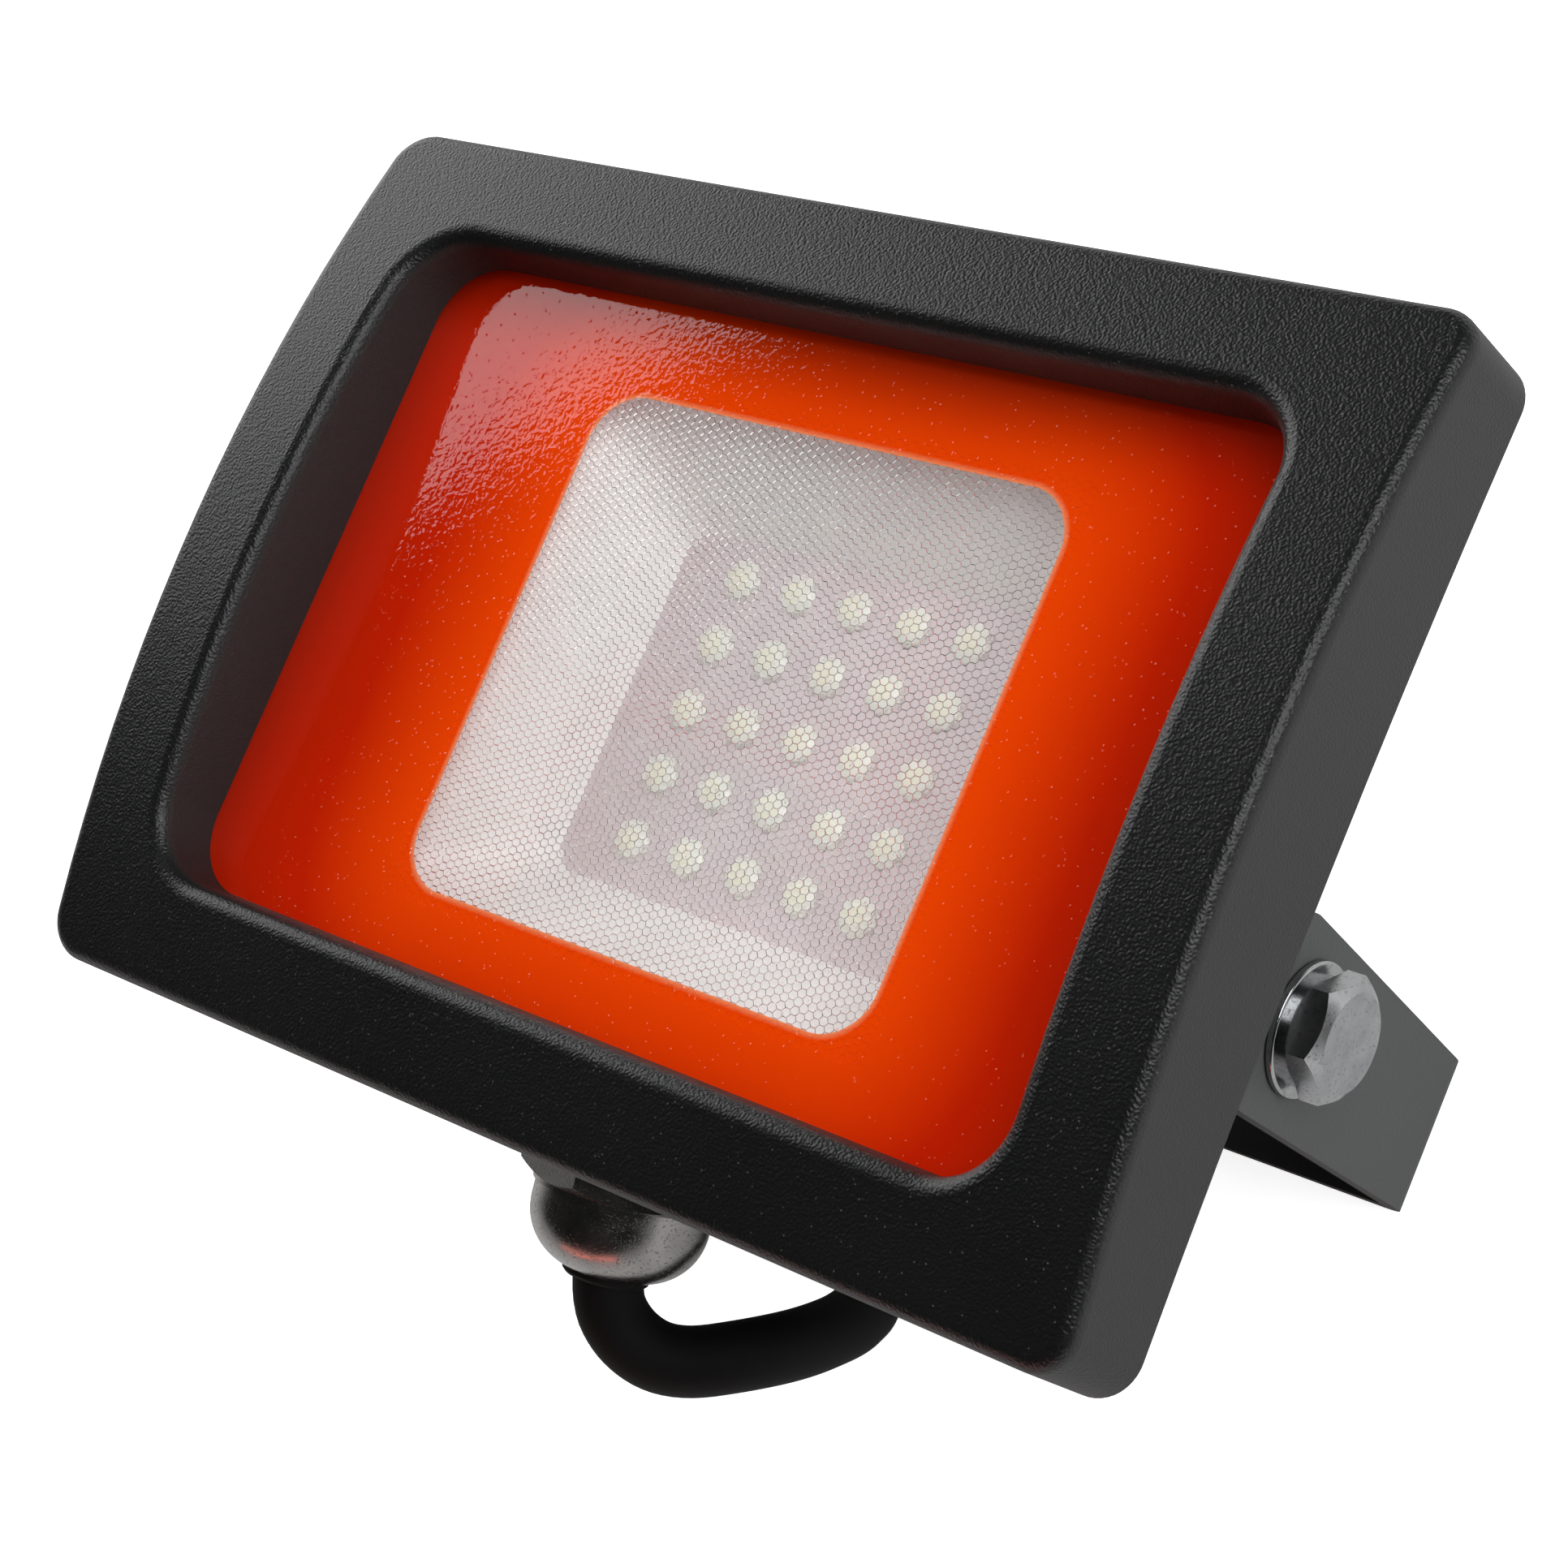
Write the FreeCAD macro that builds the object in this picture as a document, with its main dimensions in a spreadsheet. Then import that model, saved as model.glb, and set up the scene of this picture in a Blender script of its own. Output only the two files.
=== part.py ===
# Small mains flood light on a folded steel bracket, with a short cable.
# Millimetres. The origin is the middle of the strap's mounting face, so Z = 0 is the surface that the
# strap is screwed to. The lamp shines along +Z, X runs along the pivot axis, and the cable gland
# points towards -Y. The head's pieces are drawn round the head's own middle and then placed together.
import FreeCAD
import Part
import Sketcher
import math
import os

Vector = FreeCAD.Vector
Rotation = FreeCAD.Rotation
Placement = FreeCAD.Placement

doc = FreeCAD.newDocument("FloodLight")
sheet = doc.addObject("Spreadsheet::Sheet", "Sizes")

SIZES = [
    # Front frame, a die casting with a front that is bowed about the pivot's direction
    ("frame_width", 120.0, "overall width along the pivot"),
    ("frame_height", 86.9, "overall height across the pivot"),
    ("frame_side_rear", 53.5, "height of the frame's rear edge at its long sides"),
    ("frame_rear_bow", 1.5, "how far that edge bows forward at the middle"),
    ("frame_side_front", 64.0, "height of the front face at its long sides"),
    ("frame_front_bow", 5.4, "how far the front face bows forward at the middle"),
    ("frame_corner", 4.0, "radius of the four outer corners"),
    ("frame_edge_round", 1.5, "rounding of the outer front edge"),
    ("window_width", 97.6, "opening at the glass"),
    ("window_height", 64.6, "opening at the glass"),
    ("window_corner", 6.5, "radius of the opening's corners"),
    ("window_draft", 5.5, "draft of the opening's walls in degrees"),
    ("window_lip_round", 1.6, "rounding of the lip round the opening"),
    # Glass and seal
    ("glass_front", 60.7, "height of the glass's front face"),
    ("glass_thickness", 4.0, "thermally toughened pane"),
    ("glass_width", 102.4, "pane"),
    ("glass_height", 77.0, "pane"),
    ("glass_corner", 5.0, "radius of the pane's corners"),
    ("gasket_thickness", 0.8, "silicone gasket, as compressed"),
    ("gasket_band", 2.4, "width of the gasket"),
    # Rear housing, a die casting
    ("flange_thickness", 1.8, "flange that the frame is screwed to"),
    ("flange_width", 113.0, "flange"),
    ("flange_height", 80.8, "flange"),
    ("flange_corner", 3.0, "radius of the flange's corners"),
    ("housing_width", 99.2, "body at the flange"),
    ("housing_height", 79.4, "body at the flange"),
    ("housing_corner", 8.5, "radius of the body's corners"),
    ("housing_back", 24.0, "height of the body's back face"),
    ("housing_draft", 12.5, "draft of the body's sides in degrees"),
    ("housing_edge_round", 1.5, "rounding of the back edge"),
    ("cavity_width", 94.0, "hollow at the flange"),
    ("cavity_height", 73.2, "hollow at the flange"),
    ("cavity_corner", 7.5, "radius of the hollow's corners"),
    ("back_wall", 3.0, "thickness of the back wall"),
    ("fin_height", 4.0, "cooling fins on the back"),
    ("fin_thickness", 1.8, "cooling fins"),
    ("fin_length", 60.0, "cooling fins"),
    ("fin_pitch", 9.0, "cooling fins"),
    ("fin_count", 9, "cooling fins"),
    # Pivot and bracket
    ("pivot_across", -8.8, "the pivot axis, across from the middle of the head"),
    ("pivot_height", 31.5, "the pivot axis, above the mounting surface"),
    ("pivot_boss_radius", 7.3, "boss that the bracket's arm rubs on"),
    ("pivot_boss_reach", 6.5, "how far the boss runs in, to meet the housing's leaning side"),
    ("pivot_boss_inner", 6.0, "radius of the same boss inside the housing"),
    ("pivot_boss_depth", 11.5, "length of the boss"),
    ("pivot_bore", 3.0, "thread for the pivot bolt, as a radius"),
    ("pivot_bore_depth", 10.5, "depth of that thread"),
    ("arm_gap", 0.1, "running gap between boss and arm"),
    ("arm_span", 100.2, "bracket, outside to outside"),
    ("arm_bore", 3.3, "hole in the arm for the bolt, as a radius"),
    ("arm_top", 40.5, "height of the arm's end"),
    ("arm_half_width", 8.8, "arm, from the pivot axis to either edge"),
    ("arm_corner", 4.5, "radius of the arm's upper corners"),
    ("plate_thickness", 2.0, "steel strap"),
    ("strap_width", 14.5, "steel strap"),
    ("pivot_offset", 2.05, "the pivot axis, across from the middle of the strap"),
    ("bend_inside", 0.8, "inside radius of the two bends"),
    ("strap_hole", 3.25, "middle screw hole, as a radius"),
    ("slot_offset", 25.0, "middle of each slot from the middle hole"),
    ("slot_length", 12.0, "slot, end to end"),
    ("slot_radius", 2.6, "half of the slot's width"),
    # Pivot bolts and washers
    ("washer_radius", 6.0, "flat washer"),
    ("washer_bore", 3.2, "flat washer"),
    ("washer_thickness", 0.8, "flat washer"),
    ("washer_gap", 0.05, "running gap between arm and washer"),
    ("bolt_radius", 2.95, "threaded shank"),
    ("bolt_length", 12.0, "shank below the head"),
    ("bolt_flats", 10.0, "hexagon across flats"),
    ("bolt_head", 2.75, "height of the hexagon"),
    ("bolt_collar", 1.1, "bearing collar under the hexagon"),
    ("bolt_collar_radius", 4.9, "bearing collar"),
    ("bolt_chamfer", 1.0, "height of the cone at the hexagon's outer end"),
    ("bolt_flat", 4.4, "flat on the hexagon's outer end, as a radius"),
    ("bolt_turn", 92.0, "direction of one corner in degrees"),
    # Electronics
    ("board_thickness", 1.6, "both circuit boards"),
    ("driver_height", 30.0, "underside of the driver board"),
    ("driver_side", 9.3, "housing's hollow to the driver board, at the short sides"),
    ("driver_depth", 44.0, "driver board"),
    ("driver_inset", 3.0, "screw from the board's edges"),
    ("carrier_height", 41.4, "underside of the carrier plate"),
    ("carrier_thickness", 1.5, "aluminium carrier plate"),
    ("carrier_side", 0.8, "housing's hollow to the carrier plate, at the short sides"),
    ("carrier_end", 2.4, "the same at the long sides, where the gland's thread comes in"),
    ("carrier_corner", 2.0, "radius of the carrier plate's corners"),
    ("carrier_inset", 3.6, "screw from the plate's edges"),
    ("light_across", 0.7, "middle of the light field, along the pivot"),
    ("light_up", -0.8, "middle of the light field, across the pivot"),
    ("light_board_side", 8.5, "carrier plate's edge to the board with the light chips"),
    ("light_board_end", 3.0, "the same at the board's long sides"),
    ("light_board_inset", 3.5, "screw from that board's edges"),
    ("chip_columns", 5, "light chips"),
    ("chip_rows", 5, "light chips"),
    ("chip_pitch_x", 6.7, "light chips"),
    ("chip_pitch_y", 6.5, "light chips"),
    ("chip_width", 3.5, "light chip"),
    ("chip_depth", 2.8, "light chip"),
    ("chip_height", 0.8, "light chip"),
    ("reflector_foot_width", 42.4, "reflector's opening at the board"),
    ("reflector_foot_depth", 34.4, "reflector's opening at the board"),
    ("reflector_mouth_width", 60.0, "reflector's opening at the glass"),
    ("reflector_mouth_depth", 56.0, "reflector's opening at the glass"),
    ("reflector_corner", 3.0, "radius of the reflector's corners"),
    ("reflector_wall", 1.2, "reflector"),
    ("reflector_margin", 1.0, "reflector's rim inside the housing's hollow"),
    # Screws
    ("small_shank", 1.2, "thread of the small pan-head screws, as a radius"),
    ("small_head", 2.5, "head of the small screws, as a radius"),
    ("small_head_height", 1.7, "head of the small screws"),
    ("post_radius", 3.0, "screw posts of the carrier plate"),
    ("driver_post_radius", 2.6, "screw posts of the driver board and the earth screw"),
    ("screw_clearance", 0.3, "round a screw's shank"),
    ("thread_gap", 0.02, "between a screw's thread and its hole, as a radius"),
    ("post_sink", 0.5, "how far a post runs into the wall under it"),
    ("past", 1.0, "how far a cut runs past the surface that it has to clear"),
    ("frame_screw_depth", 5.5, "threads in the front frame"),
    ("frame_screw_length", 6.5, "screws from the flange into the front frame"),
    ("carrier_screw_depth", 7.0, "threads in the carrier's posts"),
    ("carrier_screw_length", 6.0, "screws of the carrier plate"),
    ("driver_screw_depth", 5.5, "threads in the driver board's posts"),
    ("driver_screw_length", 5.0, "screws of the driver board"),
    ("light_screw_length", 4.0, "screws of the light board, and the earth screw"),
    ("earth_off", 6.0, "earth screw from the driver board's edge"),
    ("board_corner", 1.0, "radius of both boards' corners"),
    ("wire_hole", 1.8, "hole for the wires through the carrier plate, as a radius"),
    ("wire_hole_off", 3.2, "that hole from the light board's edge"),
    # Cable gland
    ("gland_tilt", 14.0, "gland's axis from the pivot plane in degrees"),
    ("gland_across", -38.92, "middle of the gland's seat"),
    ("gland_height", 44.31, "middle of the gland's seat"),
    ("gland_boss_radius", 9.2, "seat on the housing"),
    ("gland_thread", 7.6, "thread in the housing, as a radius"),
    ("gland_thread_length", 6.0, "thread in the housing"),
    ("gland_seal", 0.7, "thickness of the sealing ring"),
    ("gland_flats", 17.0, "hexagon across flats"),
    ("gland_hexagon", 3.6, "height of the hexagon"),
    ("gland_bevel", 0.8, "height of the cone at the hexagon's corners"),
    ("gland_turn", 18.5, "turn of the hexagon in degrees"),
    ("gland_neck", 6.4, "neck inside the dome nut, as a radius"),
    ("gland_neck_length", 4.1, "neck inside the dome nut"),
    ("nut_radius", 8.1, "dome nut"),
    ("nut_length", 7.35, "dome nut"),
    ("nut_dome_height", 5.15, "domed part of the nut"),
    ("nut_dome_end", 4.3, "radius at which the dome ends"),
    ("nut_rim", 0.3, "how far the nut's rim stands out"),
    ("nut_rim_height", 0.45, "the nut's rim"),
    ("nut_mouth", 4.0, "hole in the dome, as a radius"),
    ("nut_end_wall", 1.2, "nut round its mouth"),
    ("gland_fit", 0.05, "between the gland's pieces"),
    ("gland_seat_depth", 1.0, "how far the insert sits in the hexagon"),
    ("gland_bore_gap", 0.4, "between the cable and the gland's bore"),
    ("insert_radius", 4.6, "rubber insert in the neck"),
    ("insert_out", 0.8, "how far the insert stands out of the dome"),
    # Cable
    ("cable_radius", 3.2, "round rubber cable"),
    ("core_radius", 1.1, "insulated core"),
    ("core_circle", 1.3, "cores lie on this circle"),
]

for row, (alias, value, note) in enumerate(SIZES, 1):
    sheet.set("A%d" % row, alias)
    sheet.set("B%d" % row, str(value))
    sheet.set("C%d" % row, note)
    sheet.setAlias("B%d" % row, alias)
doc.recompute()


def number(expression):
    """The value of an expression in the sheet's names."""
    return float(sheet.evalExpression(expression))


def linked(expression):
    """The same expression as another object has to write it, with the sheet's name before each alias."""
    words = []
    word = ""
    for letter in expression + " ":
        if letter.isalnum() or letter == "_":
            word += letter
            continue
        words.append("Sizes." + word if word in ALIASES else word)
        words.append(letter)
        word = ""
    return "".join(words).strip()


ALIASES = [alias for alias, value, note in SIZES]


def bind(thing, **values):
    """Binds properties to expressions. A dot in a property's path is written as two underscores."""
    for path, expression in values.items():
        thing.setExpression(path.replace("__", "."), linked(expression))


def new_body(name):
    body = doc.addObject("PartDesign::Body", name)
    body.Label = name
    return body


# The head's middle, across from the middle of the strap: both sides share one pivot axis.
HEAD_OFFSET = "(pivot_offset - pivot_across)"


def head_body(name):
    """Body that is drawn round the head's own middle and placed with the head."""
    body = new_body(name)
    bind(body, Placement__Base__y=HEAD_OFFSET)
    return body


def datum(body, role):
    """One of the body's own origin planes or axes."""
    return [item for item in body.Origin.OriginFeatures if item.Role == role][0]


def new_sketch(body, name, role, offset="0"):
    sketch = body.newObject("Sketcher::SketchObject", name)
    sketch.AttachmentSupport = [(datum(body, role), "")]
    sketch.MapMode = "FlatFace"
    bind(sketch, AttachmentOffset__Base__z=offset)
    return sketch


def fix_point(sketch, item, end, x, y):
    """Ties one end of a line or arc, or a centre, to two expressions."""
    for kind, expression in (("DistanceX", x), ("DistanceY", y)):
        index = sketch.addConstraint(Sketcher.Constraint(kind, -1, 1, item, end, number(expression)))
        sketch.setExpression("Constraints[%d]" % index, linked(expression))


def outline(sketch, corners):
    """Closed outline. A corner is (x, y), or (x, y, mid_x, mid_y, radius) where an arc leaves it."""
    first = sketch.GeometryCount
    points = [Vector(number(corner[0]), number(corner[1]), 0) for corner in corners]
    for place, corner in enumerate(corners):
        start = points[place]
        end = points[(place + 1) % len(points)]
        if len(corner) == 2:
            sketch.addGeometry(Part.LineSegment(start, end), False)
        else:
            middle = Vector(number(corner[2]), number(corner[3]), 0)
            sketch.addGeometry(Part.Arc(start, middle, end), False)
    for place, corner in enumerate(corners):
        item = first + place
        following = first + (place + 1) % len(corners)
        there = points[(place + 1) % len(points)]
        sketch.addConstraint(Sketcher.Constraint("Coincident", item, end_at(sketch, item, there),
                                                 following, end_at(sketch, following, there)))
        fix_point(sketch, item, end_at(sketch, item, points[place]), corner[0], corner[1])
        if len(corner) > 2:
            index = sketch.addConstraint(Sketcher.Constraint("Radius", item, number(corner[4])))
            sketch.setExpression("Constraints[%d]" % index, linked(corner[4]))
    return sketch


def end_at(sketch, item, point):
    """Which end of the stored edge lies at this point: an arc may be stored the other way round."""
    return 1 if sketch.getPoint(item, 1).distanceToPoint(point) < 1e-6 else 2


def rounded_rectangle(sketch, across, up, width, height, radius):
    """Rectangle round (across, up), with corner arcs."""
    corners = []
    diagonal = "(%s) * (1 - sqrt(0.5))" % radius
    for side_x, side_y, first_x in ((1, -1, False), (1, 1, True), (-1, 1, False), (-1, -1, True)):
        edge_x = "(%s) + (%d) * (%s) / 2" % (across, side_x, width)
        edge_y = "(%s) + (%d) * (%s) / 2" % (up, side_y, height)
        on_x = (edge_x, "%s - (%d) * (%s)" % (edge_y, side_y, radius))
        on_y = ("%s - (%d) * (%s)" % (edge_x, side_x, radius), edge_y)
        middle = ("%s - (%d) * %s" % (edge_x, side_x, diagonal), "%s - (%d) * %s" % (edge_y, side_y, diagonal))
        begin, end = (on_x, on_y) if first_x else (on_y, on_x)
        corners.append(begin + middle + (radius,))
        corners.append(end)
    return outline(sketch, corners)


def circle(sketch, x, y, radius):
    item = sketch.addGeometry(Part.Circle(Vector(number(x), number(y), 0), Vector(0, 0, 1), number(radius)), False)
    fix_point(sketch, item, 3, x, y)
    index = sketch.addConstraint(Sketcher.Constraint("Radius", item, number(radius)))
    sketch.setExpression("Constraints[%d]" % index, linked(radius))
    return sketch


def slot(sketch, x, y, length, radius):
    """Slot along the sketch's first axis, with round ends drawn as quarter arcs."""
    corners = []
    for end in (1, -1):
        centre = "((%s) + (%d) * ((%s) / 2 - %s))" % (x, end, length, radius)
        tip = "(%s) + (%d) * (%s) / 2" % (x, end, length)
        for side in (-end, end):
            edge = "(%s) + (%d) * %s" % (y, side, radius)
            middle = ("%s + (%d) * %s * sqrt(0.5)" % (centre, end, radius),
                      "(%s) + (%d) * %s * sqrt(0.5)" % (y, side, radius), radius)
            if side == -end:
                corners.append((centre, edge) + middle)
            else:
                corners.append((tip, y) + middle)
                corners.append((centre, edge))
    return outline(sketch, corners)


def hexagon(sketch, flats, turn):
    """Hexagon round the sketch's origin, with one corner in the direction of turn in degrees."""
    corners = []
    for step in range(6):
        direction = "(%s + %d) * 1 deg" % (turn, 60 * step)
        radius = "(%s) / sqrt(3)" % flats
        corners.append(("%s * cos(%s)" % (radius, direction), "%s * sin(%s)" % (radius, direction)))
    return outline(sketch, corners)


def finished(feature):
    """Recomputes, and stops at a feature that failed."""
    doc.recompute()
    if "Invalid" in feature.State or "Error" in feature.State or feature.Shape.isNull():
        raise RuntimeError("%s failed: %s" % (feature.Name, feature.getStatusString()))
    return feature


def extrude(kind, body, name, sketch, length, backwards=False, draft=None):
    """A Pad or a Pocket. A Pad runs along the sketch's normal and a Pocket against it, unless backwards."""
    feature = body.newObject("PartDesign::" + kind, name)
    feature.Profile = sketch
    feature.Reversed = backwards
    bind(feature, Length=length)
    if draft:
        bind(feature, TaperAngle=draft)
    sketch.Visibility = False
    return finished(feature)


def revolve(body, name, sketch):
    """Turned form round the sketch's upright axis."""
    feature = body.newObject("PartDesign::Revolution", name)
    feature.Profile = sketch
    feature.ReferenceAxis = (sketch, ["V_Axis"])
    feature.Angle = 360.0
    return finished(feature)


def dress(kind, body, name, size, chosen):
    """A Fillet or a Chamfer on the edges of the last feature for which chosen(edge) is true."""
    base = body.Tip
    names = ["Edge%d" % (place + 1) for place, edge in enumerate(base.Shape.Edges) if chosen(edge)]
    feature = body.newObject("PartDesign::" + kind, name)
    feature.Base = (base, names)
    bind(feature, **{"Radius" if kind == "Fillet" else "Size": size})
    return finished(feature)


def mirrored_once(body, name, features, role="YZ_Plane"):
    mirror = body.newObject("PartDesign::Mirrored", name)
    mirror.Originals = features
    mirror.MirrorPlane = (datum(body, role), [""])
    body.Tip = mirror
    return finished(mirror)


def slab(name, across, up, width, depth, corner, low, thickness):
    """Flat piece with rounded corners, lying at a height."""
    body = head_body(name)
    sketch = new_sketch(body, name + "_outline", "XY_Plane", low)
    rounded_rectangle(sketch, across, up, width, depth, corner)
    extrude("Pad", body, name + "_plate", sketch, thickness)
    return body


def drill(body, name, low, places, radius, depth, upwards=True):
    """Round holes, each at an (x, y) pair of expressions, from a height upwards or downwards."""
    sketch = new_sketch(body, name + "_centres", "XY_Plane", low)
    for x, y in places:
        circle(sketch, x, y, radius)
    return extrude("Pocket", body, name, sketch, depth, backwards=upwards)


def four(half_x, half_y, across="0", up="0"):
    """The four corners of a rectangle as pairs of expressions."""
    return [("(%s) + (%d) * (%s)" % (across, i, half_x), "(%s) + (%d) * (%s)" % (up, k, half_y))
            for i in (-1, 1) for k in (-1, 1)]


def upright(edge, lean=0.25):
    """True for a straight edge that runs mostly along Z."""
    if edge.Curve.TypeId != "Part::GeomLine":
        return False
    return abs(edge.tangentAt(edge.FirstParameter).z) > 1 - lean * lean


# Heights that follow from the stack of glass, gasket and flange
glass_back = "(glass_front - glass_thickness)"
flange_front = "(glass_front - glass_thickness - gasket_thickness)"
flange_back = "(glass_front - glass_thickness - gasket_thickness - flange_thickness)"
cavity_floor = "(housing_back + back_wall)"
carrier_top = "(carrier_height + carrier_thickness)"
# The hollow narrows towards the back, so the pieces in it are sized at the height where they lie.
hollow_at = "(%s - 2 * (" + flange_front + " - %s) * tan(housing_draft * 1 deg))"
carrier_width = "(%s - 2 * carrier_side)" % (hollow_at % ("cavity_width", "carrier_height"))
carrier_depth = "(%s - 2 * carrier_end)" % (hollow_at % ("cavity_height", "carrier_height"))
driver_width = "(%s - 2 * driver_side)" % (hollow_at % ("cavity_width", "driver_height"))
light_board_width = "(%s - 2 * light_board_side)" % carrier_width
light_board_depth = "(%s - 2 * light_board_end)" % carrier_depth
light_board_top = "(carrier_height + carrier_thickness + board_thickness)"
driver_top = "(driver_height + board_thickness)"
flange_screw_x = "((housing_width + flange_width) / 4 + 0.5)"
flange_screw_y = "(flange_height / 3)"
carrier_screw_x = "(%s / 2 - carrier_inset)" % carrier_width
carrier_screw_y = "(%s / 2 - carrier_inset)" % carrier_depth
driver_screw_x = "(%s / 2 - driver_inset)" % driver_width
driver_screw_y = "(driver_depth / 2 - driver_inset)"
board_screw_x = "(%s / 2 - light_board_inset)" % light_board_width
board_screw_y = "(%s / 2 - light_board_inset)" % light_board_depth


def front_frame():
    """Bowed frame: the side view is extruded, then the corners, the lip and the rear recesses are cut."""
    body = head_body("front_bezel")
    side = new_sketch(body, "frame_side", "YZ_Plane", "-frame_width / 2")
    half = "(frame_height / 2)"
    rear_radius = "(pow(%s; 2) + pow(frame_rear_bow; 2)) / (2 * frame_rear_bow)" % half
    front_radius = "(pow(%s; 2) + pow(frame_front_bow; 2)) / (2 * frame_front_bow)" % half
    outline(side, [
        ("-" + half, "frame_side_rear", "0", "frame_side_rear + frame_rear_bow", rear_radius),
        (half, "frame_side_rear"),
        (half, "frame_side_front", "0", "frame_side_front + frame_front_bow", front_radius),
        ("-" + half, "frame_side_front"),
    ])
    extrude("Pad", body, "frame_block", side, "frame_width")
    dress("Fillet", body, "frame_corners", "frame_corner", upright)
    middle = number("(frame_side_rear + frame_side_front) / 2")
    dress("Fillet", body, "frame_front_edge", "frame_edge_round",
          lambda edge: all(v.Z > middle for v in edge.Vertexes) and edge.CenterOfMass.z > middle)

    opening = new_sketch(body, "window_outline", "XY_Plane", "glass_front")
    rounded_rectangle(opening, "0", "0", "window_width", "window_height", "window_corner")
    extrude("Pocket", body, "window", opening, "frame_side_front + frame_front_bow - glass_front + past",
            backwards=True, draft="window_draft")
    inside_x = number("window_width / 2 + 2")
    inside_y = number("window_height / 2 + 2")
    near = number("glass_front + 1")
    dress("Fillet", body, "window_lip", "window_lip_round",
          lambda edge: edge.CenterOfMass.z > near and all(v.Z > near for v in edge.Vertexes)
          and abs(edge.CenterOfMass.x) < inside_x and abs(edge.CenterOfMass.y) < inside_y)

    recess = new_sketch(body, "glass_recess_outline", "XY_Plane", "glass_front")
    rounded_rectangle(recess, "0", "0", "glass_width + 2 * screw_clearance", "glass_height + 2 * screw_clearance",
                      "glass_corner")
    extrude("Pocket", body, "glass_recess", recess, "glass_front - frame_side_rear + past")
    recess = new_sketch(body, "flange_recess_outline", "XY_Plane", flange_front)
    rounded_rectangle(recess, "0", "0", "flange_width + 2 * screw_clearance", "flange_height + 2 * screw_clearance",
                      "flange_corner")
    extrude("Pocket", body, "flange_recess", recess, flange_front + " - frame_side_rear + past")
    drill(body, "flange_screw_threads", flange_front, four(flange_screw_x, flange_screw_y), "small_shank + thread_gap",
          "frame_screw_depth")
    return body


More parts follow.
